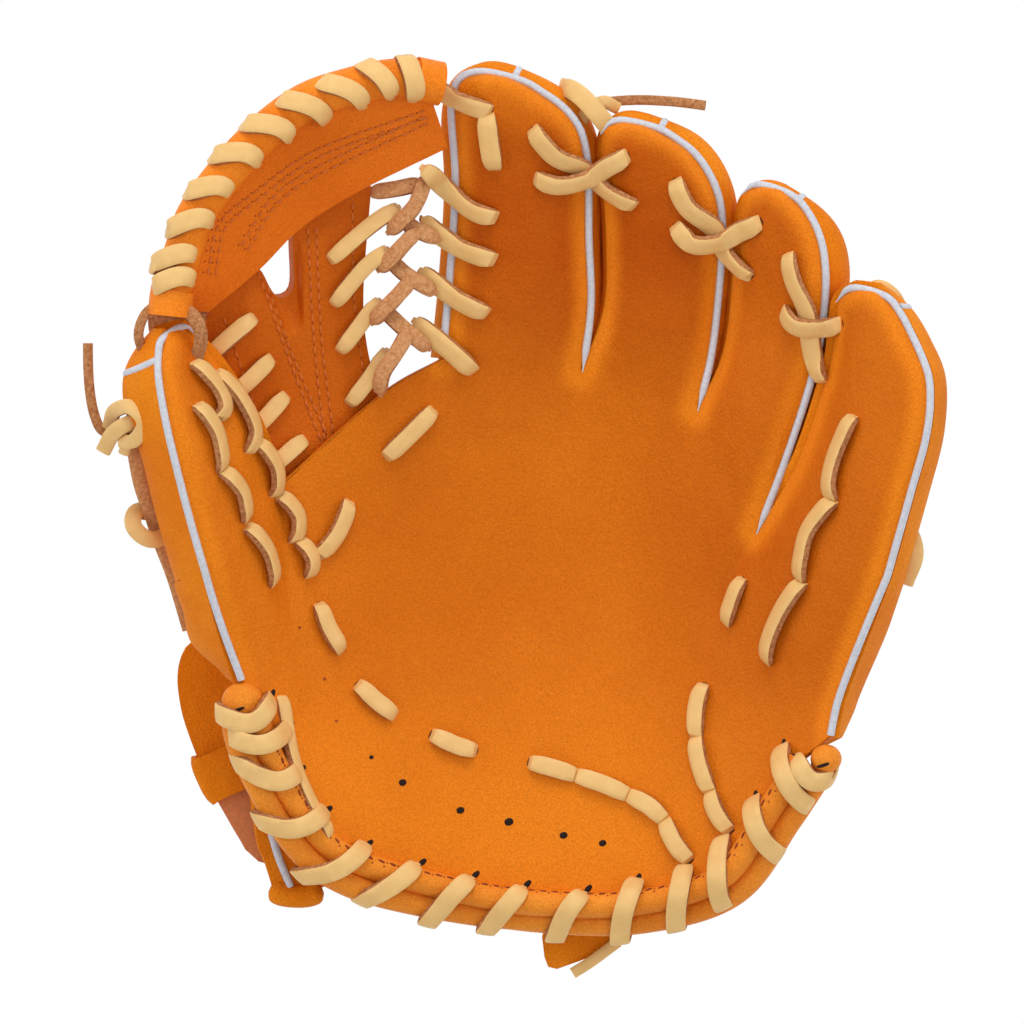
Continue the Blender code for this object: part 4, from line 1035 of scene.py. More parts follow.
def drape(tree, line, lift=LACE_LIFT, dips=(END_DIP, END_DIP), crossing=None, lean=(0, 0), tuck=TUCK):
    """A flat line dropped on a surface, leaning to a side, its ends dipping into it, with the normals."""
    line = lengthened(line, tuck)
    flat = through(line, max(LEAST_POINTS, int(arc_length(line)[-1] / LACE_STEP) + 1))
    reach = arc_length(flat)
    from_ends = (reach, reach[-1] - reach)
    middle, normals = [], []
    for spot, side in zip(flat, to_the_right(flat)):
        level, slope = felt_height(tree, spot, side)
        if crossing:
            near = smoothstep(CROSSING_START, CROSSING_TOP, np.linalg.norm(spot - np.array(crossing)))
            level += near * (LACE_THICK + CROSSING_GAP)
        middle.append((*spot, level + lift))
        normals.append((*(-slope * side), 1))
    middle = np.array(middle)
    inside = smoothstep(0, LEAN_LENGTH, np.minimum(*from_ends))
    middle[:, 2] += LEAN_LIFT * LACE_WIDTH / 2 * math.hypot(*lean) * inside
    middle[:, 2] = evened(middle[:, 2], HEIGHT_PASSES)
    normals = evened(np.array(normals), NORMAL_PASSES)
    normals[:, :2] += inside[:, None] * np.array(lean)
    across = np.cross(np.gradient(middle, axis=0), normals)
    for depth, far in zip(dips, from_ends):
        middle[:, 2] -= depth * (1 - smoothstep(0.0, DIP_LENGTH, far)) ** DIP_POWER
    return middle, unit(np.cross(across, np.gradient(middle, axis=0)))


def evened(rows, passes):
    """Rows smoothed along their line, ends kept."""
    rows = rows.copy()
    for _ in range(passes):
        rows[1:-1] = (rows[:-2] + 2 * rows[1:-1] + rows[2:]) / 4
    return rows


def stitch_row(bm, tree, line, long, pitch, wide, lift, look=0):
    """A row of stitches along a flat line on a surface."""
    flat = through(line, max(2, int(arc_length(np.array(line, float))[-1] / pitch)))
    for spot, run in zip(flat, np.gradient(flat, axis=0)):
        hit, normal = drop(tree, spot)
        if hit is not None:
            for face in add_stitch(bm, hit + normal * lift, Vector((*run, 0)), normal, long, wide):
                face.material_index = look


def add_stitch(bm, place, run, normal, long, wide):
    """One stitch: a small rounded bead lying along the run."""
    normal = normal if normal.z > 0 else -normal
    run = (run - normal * run.dot(normal)).normalized()
    side = normal.cross(run)
    turns = [2 * math.pi * k / BEAD_SIDES for k in range(BEAD_SIDES)]
    rings = []
    for tilt in BEAD_RINGS:
        centre = place + run * (tilt * long / 2)
        reach = math.sqrt(1 - tilt * tilt) * wide / 2
        spots = [centre + (side * math.cos(t) + normal * math.sin(t)) * reach for t in turns]
        rings.append([bm.verts.new(spot * MM) for spot in spots])
    faces = [bm.faces.new(rings[0][::-1]), bm.faces.new(rings[-1])]
    for first, second in zip(rings, rings[1:]):
        for k in range(BEAD_SIDES):
            after = (k + 1) % BEAD_SIDES
            faces.append(bm.faces.new((first[k], first[after], second[after], second[k])))
    return faces


def tone(red, green, blue):
    """Linear colour of a screen colour."""
    parts = [v / 255 for v in (red, green, blue)]
    return tuple(p / 12.92 if p <= 0.04045 else ((p + 0.055) / 1.055) ** 2.4 for p in parts) + (1.0,)


def new_material(name, colour, roughness, specular=0.5):
    """A plain material and its node tree, ready for more nodes."""
    made = bpy.data.materials.new(name)
    made.use_nodes = True
    shader = made.node_tree.nodes["Principled BSDF"]
    shader.inputs["Base Color"].default_value = colour
    shader.inputs["Roughness"].default_value = roughness
    shader.inputs["Specular IOR Level"].default_value = specular
    return made


def add_noise(material, scale, detail=4.0, stretch=(1, 1, 1), rough=0.55):
    """Noise over the object's own coordinates; returns its factor socket."""
    tree = material.node_tree
    place = tree.nodes.new("ShaderNodeTexCoord")
    mapping = tree.nodes.new("ShaderNodeMapping")
    mapping.inputs["Scale"].default_value = stretch
    noise = tree.nodes.new("ShaderNodeTexNoise")
    noise.inputs["Scale"].default_value = scale
    noise.inputs["Detail"].default_value = detail
    noise.inputs["Roughness"].default_value = rough
    tree.links.new(place.outputs["Object"], mapping.inputs["Vector"])
    tree.links.new(mapping.outputs["Vector"], noise.inputs["Vector"])
    return noise.outputs["Fac"]


def add_cells(material, scale):
    """Pebbled cells over the object's own coordinates; returns the distance socket."""
    tree = material.node_tree
    place = tree.nodes.new("ShaderNodeTexCoord")
    cells = tree.nodes.new("ShaderNodeTexVoronoi")
    cells.inputs["Scale"].default_value = scale
    tree.links.new(place.outputs["Object"], cells.inputs["Vector"])
    return cells.outputs["Distance"]


def add_ramp(material, source, low, high, first, second):
    """Turn a factor into a colour between two tones."""
    tree = material.node_tree
    ramp = tree.nodes.new("ShaderNodeValToRGB")
    ramp.color_ramp.elements[0].position = low
    ramp.color_ramp.elements[0].color = first
    ramp.color_ramp.elements[1].position = high
    ramp.color_ramp.elements[1].color = second
    tree.links.new(source, ramp.inputs["Fac"])
    return ramp.outputs["Color"]


def add_mix(material, factor, first, second, blend="MIX"):
    """Mix two colours; factor is a socket or a number."""
    tree = material.node_tree
    mix = tree.nodes.new("ShaderNodeMix")
    mix.data_type = "RGBA"
    mix.blend_type = blend
    for value, socket in ((factor, mix.inputs[0]), (first, mix.inputs[6]), (second, mix.inputs[7])):
        if hasattr(value, "is_linked"):
            tree.links.new(value, socket)
        else:
            socket.default_value = value
    return mix.outputs[2]


def add_bumps(material, layers):
    """Stack bumps, each a height socket, a strength and a depth in millimetres."""
    tree = material.node_tree
    last = None
    for height, strength, depth in layers:
        bump = tree.nodes.new("ShaderNodeBump")
        bump.inputs["Strength"].default_value = strength
        bump.inputs["Distance"].default_value = depth * MM
        tree.links.new(height, bump.inputs["Height"])
        if last:
            tree.links.new(last, bump.inputs["Normal"])
        last = bump.outputs["Normal"]
    tree.links.new(last, tree.nodes["Principled BSDF"].inputs["Normal"])


def set_colour(material, socket):
    """Let a colour socket colour the material."""
    material.node_tree.links.new(socket, material.node_tree.nodes["Principled BSDF"].inputs["Base Color"])


def leather_material(name, light, dark, roughness=LEATHER_ROUGHNESS, with_painted_shade=False, shine=LEATHER_SHINE):
    """Smooth oiled leather: two tones, fine grain, soft wrinkles, or painted shade and light between the two
    tones.
    """
    made = new_material(name, light, roughness, shine)
    tree = made.node_tree
    tree.nodes["Principled BSDF"].inputs["Specular Tint"].default_value = SHINE_TINT
    cloud = add_noise(made, CLOUD_SCALE, detail=4.0)
    if with_painted_shade:
        # painted light and shade: the stored level, with a share of the clouds, picks between the dark and
        # the light tone
        level = tree.nodes.new("ShaderNodeAttribute")
        level.attribute_name = "painted_light_level"
        both = tree.nodes.new("ShaderNodeMath")
        both.operation = "MULTIPLY_ADD"
        both.inputs[1].default_value = CLOUD_SHARE
        tree.links.new(cloud, both.inputs[0])
        tree.links.new(level.outputs["Fac"], both.inputs[2])
        broad = add_ramp(made, both.outputs[0], CLOUD_SHARE / 2, 1 + CLOUD_SHARE / 2, dark, light)
    else:
        broad = add_ramp(made, cloud, *CLOUD_SPAN, dark, light)
    grain = add_noise(made, GRAIN_SCALE, detail=3.0, rough=0.6)
    fine = add_ramp(made, grain, *GRAIN_SPAN, GRAIN_SHADE, (1, 1, 1, 1))
    set_colour(made, add_mix(made, GRAIN_SHARE, broad, fine, "MULTIPLY"))
    folds = add_noise(made, FOLD_SCALE, detail=3.0, stretch=FOLD_STRETCH)
    wrinkles = add_noise(made, WRINKLE_SCALE, detail=5.0, stretch=WRINKLE_STRETCH)
    pebbles = add_cells(made, PEBBLE_SCALE)
    add_bumps(made, [(folds, *FOLD_BUMP), (wrinkles, *WRINKLE_BUMP), (pebbles, *PEBBLE_BUMP)])
    return made


def lace_material():
    """Smooth face of a rawhide lace, with faint streaks."""
    made = new_material("lace_face", tone(226, 190, 122), roughness=0.5, specular=0.3)
    streaks = add_noise(made, scale=240, detail=4.0)
    set_colour(made, add_ramp(made, streaks, 0.2, 0.8, tone(228, 182, 112), tone(238, 195, 127)))
    add_bumps(made, [(add_noise(made, scale=700, detail=3.0), 0.15, 0.15)])
    return made


def suede_material(name, dark, light):
    """Rough flesh side of a lace."""
    made = new_material(name, light, roughness=0.95, specular=0.1)
    nap = add_noise(made, scale=900, detail=5.0, rough=0.7)
    set_colour(made, add_ramp(made, nap, 0.32, 0.68, dark, light))
    add_bumps(made, [(add_noise(made, scale=1100, detail=4.0), 0.6, 0.4)])
    return made


def floor_material():
    """Pale paper in the light it throws back, plain white to the camera and in reflections."""
    made = new_material("floor_paper", (0.92, 0.92, 0.92, 1), roughness=0.9, specular=0.0)
    tree = made.node_tree
    glow = tree.nodes.new("ShaderNodeEmission")
    path = tree.nodes.new("ShaderNodeLightPath")
    seen = path.outputs["Is Camera Ray"]
    for ray in ("Is Glossy Ray", "Is Transmission Ray"):
        either = tree.nodes.new("ShaderNodeMath")
        either.operation = "MAXIMUM"
        tree.links.new(seen, either.inputs[0])
        tree.links.new(path.outputs[ray], either.inputs[1])
        seen = either.outputs[0]
    mix = tree.nodes.new("ShaderNodeMixShader")
    tree.links.new(seen, mix.inputs[0])
    tree.links.new(tree.nodes["Principled BSDF"].outputs[0], mix.inputs[1])
    tree.links.new(glow.outputs[0], mix.inputs[2])
    tree.links.new(mix.outputs[0], tree.nodes["Material Output"].inputs["Surface"])
    return made


def plain_material(name, colour, roughness, grain=PLAIN_GRAIN, depth=PLAIN_DEPTH):
    """A material of one colour with a little grain."""
    made = new_material(name, colour, roughness, specular=0.3)
    darker = tuple(PLAIN_SHADE * v for v in colour[:3]) + (1.0,)
    set_colour(made, add_ramp(made, add_noise(made, grain, detail=3.0), 0.3, 0.7, darker, colour))
    add_bumps(made, [(add_noise(made, grain, detail=3.0), 0.3, depth)])
    return made


def bend_ends(axis, reach):
    """Start and end of the soft fold beside an axis: from the axis out to the moving side."""
    a, b = np.array(axis[0]), np.array(axis[1])
    along = unit((b - a)[:2])
    out = np.array([-along[1], along[0]]) if a[0] < 0 else np.array([along[1], -along[0]])
    start = (a + b) / 2
    end = start + np.array([*(out * reach), 0])
    return Vector(start) * MM, Vector(end) * MM


def place(obj, body, slot, nodes=(), reach=None):
    """Put a piece on its body, or, where a reach is given, bake its place into its mesh and leave it
    unattached.
    """
    if reach:
        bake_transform(obj)
    else:
        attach(obj, body)
    if nodes:
        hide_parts(*nodes)
    return obj


def fold_reach(body):
    """Fold reach for a front piece of a body; none for the palm's own pieces."""
    return None if body == "palm" else FOLD_REACH


def search_tree(points):
    """Search tree over points."""
    tree = KDTree(len(points))
    for k, point in enumerate(points):
        tree.insert(point, k)
    tree.balance()
    return tree


def match_normals(objects, whole):
    """Give pieces that meet the normals of the whole surface, so that no line shows between them."""
    tree = search_tree([vert.co for vert in whole.vertices])
    for obj in objects:
        normals = []
        for vert in obj.data.vertices:
            _, index, distance = tree.find(vert.co)
            normals.append(whole.vertices[index].normal if distance < SAME_PLACE * MM else vert.normal)
        obj.data.normals_split_custom_set_from_vertices(normals)


def seam_points(patches):
    """Search tree over the welted seams of the front."""
    lines = [patches[k][PALM_CELLS:, side] for k in ("index", "middle", "ring") for side in (0, -1)]
    lines += [patches["thumb"][:, 0], patches["thumb"][THUMB_LIP_START:, -1]]
    lines += [patches["pinky"][:, -1], patches["pinky"][PALM_CELLS:, 0]]
    return search_tree(np.vstack(lines))


def paint_light_and_shade(obj, seams):
    """Store painted light and shade: shade in the stalls, light on the heel, highlights on rolled edges."""
    places = np.array([v.co for v in obj.data.vertices]) / MM
    x, y = places[:, 0], places[:, 1]
    level = np.interp(y, *np.array(PAINTED_LIGHT_ALONG).T)
    level += np.interp(x, *np.array(PAINTED_LIGHT_ACROSS).T) * (1 - smoothstep(*PALM_FADE, y))
    level += np.interp(x, *np.array(PAINTED_LIGHT_OF_STALLS).T) * smoothstep(*STALL_FADE, y)
    far = np.array([seams.find(spot)[2] for spot in places])
    # painted highlight on the rolled edges beside the welted seams
    lip_highlight = LIP_HIGHLIGHT * (1 - smoothstep(*LIP_HIGHLIGHT_SPAN, far))
    level = np.clip(level + (1 - level) * lip_highlight, 0, 1)
    attribute = obj.data.attributes.new("painted_light_level", "FLOAT", "POINT")
    attribute.data.foreach_set("value", level.astype(np.float32))


def front_pieces(patches):
    """Front leather in three pieces that meet at the folds; returns the whole front surface."""
    groups = {
        "palm_front": (("index", "middle", "ring"), "palm", "palm_leather"),
        "thumb_front": (("triangle", "thumb"), "thumb_side", "thumb_leather"),
        "pinky_front": (("pinky",), "pinky_side", "pinky_leather"),
    }
    whole = open_sheet("front_surface", list(patches.values()))
    made = []
    for name, (keys, body, node) in groups.items():
        obj = solid_sheet(name, [patches[k] for k in keys], LEATHER, FRONT_LEATHER)
        made.append((obj, body, node))
    match_normals([m[0] for m in made], whole)
    seams = seam_points(patches)
    for obj, body, node in made:
        # painted light and shade: dark in the stalls, light on the heel and on the rolled edges
        paint_light_and_shade(obj, seams)
        place(obj, body, "leather", [node], fold_reach(body))
    return whole


def inner_pieces(patches):
    """Linings and heel pads under the front leather."""
    under = LEATHER + GAP
    deep = under + HEEL_PAD + GAP
    palm = [patches[k][INNER_START:PALM_CELLS] for k in ("index", "middle", "ring")]
    lining = solid_sheet("palm_inside", palm, LINING, LINING_LOOK, under)
    place(lining, "palm", "lining", ["palm_lining"])
    grids = {
        "thumb": patches["triangle"][INNER_START:PAD_END],
        "pinky": patches["pinky"][INNER_START:PAD_END, :-PINKY_PAD_TRIM],
    }
    for side, grid in grids.items():
        body = side + "_side"
        pad = solid_sheet(side + "_heel_pad", [grid], HEEL_PAD, FELT, under)
        place(pad, body, "felt", [side + "_pad"], FOLD_REACH)
        skin = solid_sheet(side + "_inside", [grid], LINING, LINING_LOOK, deep)
        place(skin, body, "lining", [side + "_lining"], FOLD_REACH)


def bezier_rows(inner, inner_pull, outer_pull, outer):
    """Grid of cross sections, each a cubic from the inner to the outer edge."""
    s = np.linspace(0, 1, BACK_CELLS + 1)[None, :, None]
    a, b, c, d = (edge[:, None] for edge in (inner, inner_pull, outer_pull, outer))
    return (1 - s) ** 3 * a + 3 * s * (1 - s) ** 2 * b + 3 * s ** 2 * (1 - s) * c + s ** 3 * d


def back_edges(patch, first_row):
    """Seam edges for a back: under the front leather and a little inside its edges."""
    sunk = patch - np.array([0, 0, SEAM_DROP])
    left, right = sunk[first_row:, 0], sunk[first_row:, -1]
    span = unit(right - left)
    return left + SEAM_INSET * span, right - SEAM_INSET * span


def outward_of(contour):
    """Flat directions pointing away from a finger along the seam round it."""
    return np.column_stack([-to_the_right(contour[:, :2]), np.zeros(len(contour))])


def along_contour(left, top, right):
    """Values up the left seam, over the tip and down the right seam as one array."""
    return np.concatenate([left, top, right[::-1]])


def hull_spine(left, right):
    """Lower middle line of a finger's hull, under its seams."""
    u = np.linspace(0, 1, len(left))
    rows = np.arange(len(u))
    middle = (left + right) / 2
    spine = np.stack([np.interp(SPINE_REACH * rows, rows, middle[:, k]) for k in range(3)], axis=1)
    tip_bottom = middle[-1, 2] - FINGERTIP_DEPTH
    spine[:, 2] = (tip_bottom - FINGERTIP_DEPTH) * smoothstep(0, 1.0, u) + FINGERTIP_DEPTH * u ** TIP_POWER
    return spine


def hull_bulge(count, wall_swell, swell, tip_swell, top_swell):
    """How far a finger's hull stands out along its contour."""
    u = np.linspace(0, 1, count)
    wall = wall_swell + (top_swell - wall_swell) * smoothstep(*WALL_TO_TOP, u)
    side = swell + (tip_swell - swell) * smoothstep(*SIDE_TO_TIP, u)
    side += (top_swell - tip_swell) * smoothstep(*TIP_TO_TOP, u)
    return along_contour(wall, np.full(TIP_CELLS, top_swell), side)[:, None]


def finger_back(name, patch, swells):
    """Back of a finger: a hull hung under the seam that runs up one side, over the tip and down the other."""
    left, right = back_edges(patch, PALM_CELLS)
    share = np.linspace(0, 1, TIP_CELLS + 2)[1:-1, None]
    contour = along_contour(left, left[-1] + share * (right[-1] - left[-1]), right)
    spine = hull_spine(left, right)
    spine = along_contour(spine, np.tile(spine[-1], (TIP_CELLS, 1)), spine)
    away = evened(outward_of(contour), OUTWARD_PASSES)
    pull = (hull_bulge(len(left), *swells) + HULL_LOSS) / HULL_PEAK * away
    drop_down = (contour - spine) * (0, 0, 1)
    upper = evened(contour + pull - UPPER_DROP * drop_down, HULL_PASSES)
    lower = evened(contour + LOWER_PULL * pull - LOWER_DROP * drop_down, HULL_PASSES)
    grid = bezier_rows(contour, upper, lower, spine)
    obj = solid_sheet(name + "_back_leather", [grid[:, ::-1]], LEATHER, BACK_LEATHER)
    place(obj, "palm", "leather", [name + "_back"])
    return grid


def side_back(name, patch, outer_on_left, fold_line, bulge, tip_share):
    """Back of the thumb or pinky side: from the fold line on the rest plane round to the outer seam."""
    left, right = back_edges(patch, 0)
    outer, stall_inner = (left, right) if outer_on_left else (right, left)
    inner = np.vstack([through(fold_line, PALM_CELLS + 1), stall_inner[PALM_CELLS + 1:]])
    u = np.linspace(0, 1, len(inner))[:, None]
    start, end = (share * PALM_CELLS for share in STALL_SPAN)
    stall = smoothstep(start, end, np.arange(len(inner)))[:, None]
    out = (outer - inner) * (1, 1, 0)
    reach = np.linalg.norm(out, axis=1, keepdims=True)
    out /= reach
    taper = np.sqrt(np.clip(1 - u ** TIP_POWER, LEAST_SHARE, 1))
    down = np.array([0, 0, -1.0])
    inner_pull = inner + (1 - stall) * INNER_REACH * reach * out + stall * INNER_DEPTH * taper * down
    fall = (1 - stall) * OUTER_FALL * (outer[:, 2:] - inner[:, 2:]) + stall * OUTER_DEPTH * taper
    fuller = 1 + (tip_share - 1) * smoothstep(*TIP_FULL_SPAN, u)
    fuller *= smoothstep(*HEEL_FULL_SPAN, u)
    outer_pull = outer + bulge * fuller * taper * out + fall * down
    grid = bezier_rows(inner, inner_pull, outer_pull, outer)
    facing = grid if outer_on_left else grid[:, ::-1]
    obj = solid_sheet(name + "_back_leather", [facing], LEATHER, BACK_LEATHER, grow=1.0)
    place(obj, name + "_side", "leather", [name + "_back"], BACK_REACH)
    return grid[:, ::-1]


def hand_back():
    """Flat leather behind the hand, with its flap at the wrist."""
    bm = bmesh.new()
    face = bm.faces.new([bm.verts.new((x * MM, y * MM, 0)) for x, y in HAND_BACK])
    for lifted in bmesh.ops.extrude_face_region(bm, geom=[face])["geom"]:
        if isinstance(lifted, bmesh.types.BMVert):
            lifted.co.z += LEATHER * MM
    plate = add_object("hand_back_leather", tidy_mesh("hand_back_leather", bm, [BACK_LEATHER]))
    place(plate, "palm", "leather", ["hand_back"])


def back_pieces(patches):
    """Backs of the three fingers, the thumb and the pinky, and the hand back."""
    grids = {name: finger_back(name, patches[name], swells) for name, swells in FINGER_SWELLS.items()}
    grids["thumb"] = side_back("thumb", patches["thumb"], True, THUMB_FOLD_LINE, THUMB_BULGE,
                               THUMB_TIP_SHARE)
    grids["pinky"] = side_back("pinky", patches["pinky"], False, PINKY_FOLD_LINE, PINKY_BULGE,
                               PINKY_TIP_SHARE)
    hand_back()
    return grids


def welt_line(left, right, left_normals, right_normals):
    """Middle line of a welt up one edge, over the tip and down the other."""
    line = np.vstack([left, right[::-1]])
    up = np.vstack([left_normals, right_normals[::-1]])
    keep = np.concatenate([[True], np.linalg.norm(np.diff(line, axis=0), axis=1) > WELT_SPACING])
    line, up = line[keep], up[keep]
    outward = unit(np.cross(up, np.gradient(line, axis=0)))
    moved = line + outward * WELT_OUT + up * WELT_UP
    return through(moved[::WELT_STRIDE], len(moved))


def welt_branch(name, grid):
    """Short flat welt from the seam out over the back of a fingertip."""
    row = nearest_row(grid[:, 0, :2], WELT_BRANCHES[name])
    path = through(grid[row, :BRANCH_CELLS], BRANCH_POINTS)
    wanted, given = np.linspace(0, 1, BRANCH_POINTS), np.linspace(0, 1, BRANCH_CELLS)
    normals = grid_normals(grid)[row, :BRANCH_CELLS]
    normals = np.stack([np.interp(wanted, given, normals[:, k]) for k in range(3)], axis=1)
    if normals[0, 2] < 0:
        normals = -normals
    lift = LEATHER if name in ("thumb", "pinky") else 0.0
    return path + (lift - BRANCH_SINK) * normals, normals


def welt_pieces(patches, backs):
    """Grey welts in the seams, each with a short branch over the tip."""
    crotch, tip = PALM_CELLS, -TIP_OVERLAP
    spans = {"index": (crotch + 1, crotch), "middle": (tip, crotch), "ring": (tip, crotch),
             "thumb": (0, tip), "pinky": (tip, 0)}
    open_ends = {"index": "left", "thumb": "left", "pinky": "right"}
    for name, (from_left, from_right) in spans.items():
        patch = patches[name]
        normals = grid_normals(patch)
        line = welt_line(patch[from_left:, 0], patch[from_right:, -1],
                         normals[from_left:, 0], normals[from_right:, -1])
        reach = arc_length(line)
        away = {"left": reach[-1] - reach, "right": reach}
        ends = away.get(open_ends.get(name), np.minimum(reach, reach[-1] - reach))
        bm = bmesh.new()
        add_sweep(bm, line, steady_normals(line), round_section(WELT_DIAMETER),
                  scale=WELT_POINT + (1 - WELT_POINT) * smoothstep(0, WELT_TAPER, ends))
        obj = add_object(name + "_piping", tidy_mesh(name + "_piping", bm, [WELT]))
        body = name + "_side" if name in ("thumb", "pinky") else "palm"
        place(obj, body, "welt", [name + "_welt"])
        branch = lace_piece(name + "_piping_branch", [welt_branch(name, backs[name])], WELT_DIAMETER,
                            BRANCH_THICK, [WELT, WELT], cut_square=True)
        place(branch, body, "welt")


def heel_frames():
    """Middle of the heel rolls with its outward and upward directions, and places along it from 0 to 1."""
    flat = through(HEEL_LINE, ROLL_POINTS)
    centre = np.column_stack([flat, FRONT_HEIGHT(flat) - ROLL_DROP])
    along = np.gradient(centre, axis=0)
    out = unit(np.cross(along, (0, 0, 1.0)))
    up = unit(np.cross(out, along))
    return centre, out, up, np.linspace(0, 1, ROLL_POINTS)


def heel_rolls():
    """Two rolls side by side along the heel, in three pieces that meet at the folds."""
    centre, out, up, spots = heel_frames()
    tilt = np.radians(np.interp(spots, *np.array(ROLL_TILT).T))[:, None]
    offset = ROLL_SPACING / 2 * (np.cos(tilt) * out - np.sin(tilt) * up)
    at_thumb, at_pinky = (nearest_to_axis(centre[:, :2], axis) for axis in (THUMB_AXIS, PINKY_AXIS))
    spans = {"thumb_heel": (0, at_thumb), "heel": (at_thumb, at_pinky),
             "pinky_heel": (at_pinky, len(centre) - 1)}
    rolls = []
    for name, (first, last) in spans.items():
        run = slice(first, last + 1)
        lines = [(centre + offset)[run], (centre - offset)[run]]
        obj = tube_piece(name + "_rolls", lines, ROLL_DIAMETER, ROLL_LEATHER_PAINTED_LIGHT, ROLL_SIDES)
        rolls.append(obj.data)
        body = HEEL_BODIES[name]
        place(obj, body, "leather", [name + "_roll"], fold_reach(body))
    return rolls, centre


def wound_turn(inner, top, outer, tree, core, under, rounding):
    """Middle line of one turn of a lace: up through its hole, over a roll and back under it."""
    bow = top - (inner + outer) / 2
    reach = outer - inner
    level = core[nearest_row(core[:, :2], inner + CORE_SHARE * reach), 2]
    flat = [inner + t * reach + 4 * t * (1 - t) * bow for t in np.linspace(0, OVER_SHARE, OVER_POINTS)]
    over = np.array([[*spot, height_on(tree, spot) + OVER_LIFT] for spot in flat])
    for _ in range(BRIDGE_PASSES):
        over[1:-1, 2] = np.maximum(over[1:-1, 2], (over[:-2, 2] + over[2:, 2]) / 2)
    start = (*(inner + HOLE_BACK * unit(flat[0] - flat[1])), over[0, 2] - HOLE_DOWN)
    round_edge = (*(outer + rounding * unit(reach)), level - EDGE_DROP - rounding)
    beneath = (*(inner + BENEATH_SHARE * reach), level - under)
    last = (*(inner + LAST_SHARE * reach), level - under - LAST_DROP)
    points = np.vstack([start, over, round_edge, beneath, last])
    return evened(through(points, int(arc_length(points)[-1] / WOUND_STEP)), HEIGHT_PASSES)


def wound_runs(name, wraps, tree, core, under, lean):
    """Turns of a lace round a roll, with their normals."""
    runs = []
    for inner, top, outer in np.array(wraps, float):
        drawn = inner + WRAP_PULL[name] * unit(top - inner)
        line = wound_turn(drawn, top, outer, tree, core, under, WRAP_ROUNDING[name])
        runs.append((line, core_normals(line, core, lean)))
    return runs


def core_normals(line, core, lean):
    """Normals of a lace laid over a core, pointing away from it and, on its upper side, mostly up."""
    nearest = core[np.argmin(np.linalg.norm(line[:, None] - core[None], axis=2), axis=1)]
    along = unit(np.gradient(line, axis=0))
    away = unit(line - nearest)
    count = len(line)
    away[:, 2] += np.linspace(INNER_UP, 0.0, count) * (np.arange(count) < INNER_SHARE * count)
    fade = 1 - smoothstep(*LEAN_FADE, np.linspace(0, 1, count))
    away[:, :2] += fade[:, None] * np.array(lean)
    away -= along * (away * along).sum(1)[:, None]
    return unit(evened(away, NORMAL_PASSES))


def bead_piece(name, beads, look, body):
    """Beads, each by place, run, normal, length and width, as one piece on a body."""
    bm = bmesh.new()
    for spot, run, normal, long, wide in beads:
        add_stitch(bm, spot, Vector(run), normal, long, wide)
    return place(add_object(name, tidy_mesh(name, bm, [look])), body, "leather")


def heel_caps():
    """Rounded caps with a slit on the ends of the heel rolls."""
    for spot, size, body in END_CAPS:
        bm = bmesh.new()
        ball = bmesh.ops.create_uvsphere(bm, u_segments=CAP_FACETS[0], v_segments=CAP_FACETS[1], radius=1.0)
        middle = Vector((*spot, FRONT_HEIGHT(np.array(spot)) - ROLL_DROP))
        for vert in ball["verts"]:
            vert.co = (middle + vert.co * Vector(size)) * MM
        cap = add_object("heel_cap_" + body, tidy_mesh("heel_cap_" + body, bm, [ROLL_LEATHER_PAINTED_LIGHT]))
        place(cap, body, "leather")
        low = middle + Vector(CAP_SLIT_PLACE) * Vector(size)
        bead = (low, CAP_SLIT_RUN, Vector(CAP_SLIT_NORMAL), *CAP_SLIT)
        bead_piece("heel_cap_slit_" + body, [bead], HOLE, body)


def heel_trim(tree):
    """Stitches along the inner heel roll and the caps on the ends of the rolls."""
    flat = through(HEEL_LINE, HEEL_STITCH_POINTS)
    line = flat - HEEL_STITCH_INSET * to_the_right(flat)
    for body, span in HEEL_STITCH_SPANS.items():
        stitched("heel_stitches_" + body, tree, [line[slice(*span)]], HEEL_THREAD, body, HEEL_STITCH)
    heel_caps()


def hole_marks(name, places, tree, body, size=HOLE_SIZE, look=None):
    """Dark lace holes: each at a place, drawn out along a direction, some with a size of their own."""
    beads = []
    for spot, run, *own_size in places:
        long, wide = own_size[0] if own_size else size
        hit, normal = drop(tree, spot)
        if hit is not None:
            beads.append((hit - normal * HOLE_SINK * wide, (*run, 0), normal, long, wide))
    return bead_piece(name, beads, look or HOLE, body)


def heel_laces(tree, core):
    """Lace wound round the heel rolls, its holes and the strip under its thumb-side turns."""
    strip = lace_piece("heel_roll_strip", [drape(tree, ROLL_STRIP, ROLL_STRIP_LIFT)], ROLL_STRIP_WIDTH)
    place(strip, "thumb_side", "lace")
    for name, wraps in HEEL_WRAPS.items():
        body = HEEL_BODIES[name]
        runs = wound_runs(name, wraps, tree, core, ROLL_DIAMETER / 2 + ROLL_UNDER, HEEL_LEAN)
        obj = lace_piece(name + "_wraps", runs)
        place(obj, body, "lace", [name + "_lace"], fold_reach(body))
        places = []
        for inner, top, _ in np.array(wraps, float):
            run = unit(top - inner)
            places.append((inner + HOLE_AHEAD * run, run))
        hole_marks(name + "_holes", places, tree, body)


def web_grids():
    """Middle of the web's rim, and its band and post as grids of points."""
    rim = through(RIM_LINE, RIM_POINTS)
    covered = rim[:, :2] + RIM_DIAMETER / 2 * BAND_COVERED * to_the_right(rim[:, :2])
    upper = through(covered[BAND_SKIP:-BAND_SKIP], BAND_POINTS[1])
    lower = through(BAND_EDGE, BAND_POINTS[1])
    rise = np.linspace(0, 1, BAND_POINTS[0])[:, None, None]
    plan = lower[None] + rise * (upper - lower)[None]
    band = np.dstack([plan, WEB_HEIGHT(plan)])
    high, wide = POST_POINTS
    plan = coons(through(POST_LEFT, high), through(POST_RIGHT, high), through(POST_FOOT, wide),
                 through(POST_TOP, wide))
    tucked = POST_TUCK * smoothstep(*POST_TUCK_SPAN, np.linspace(0, 1, high))[:, None]
    post = np.dstack([plan, WEB_HEIGHT(plan) - tucked])
    return rim, band, post


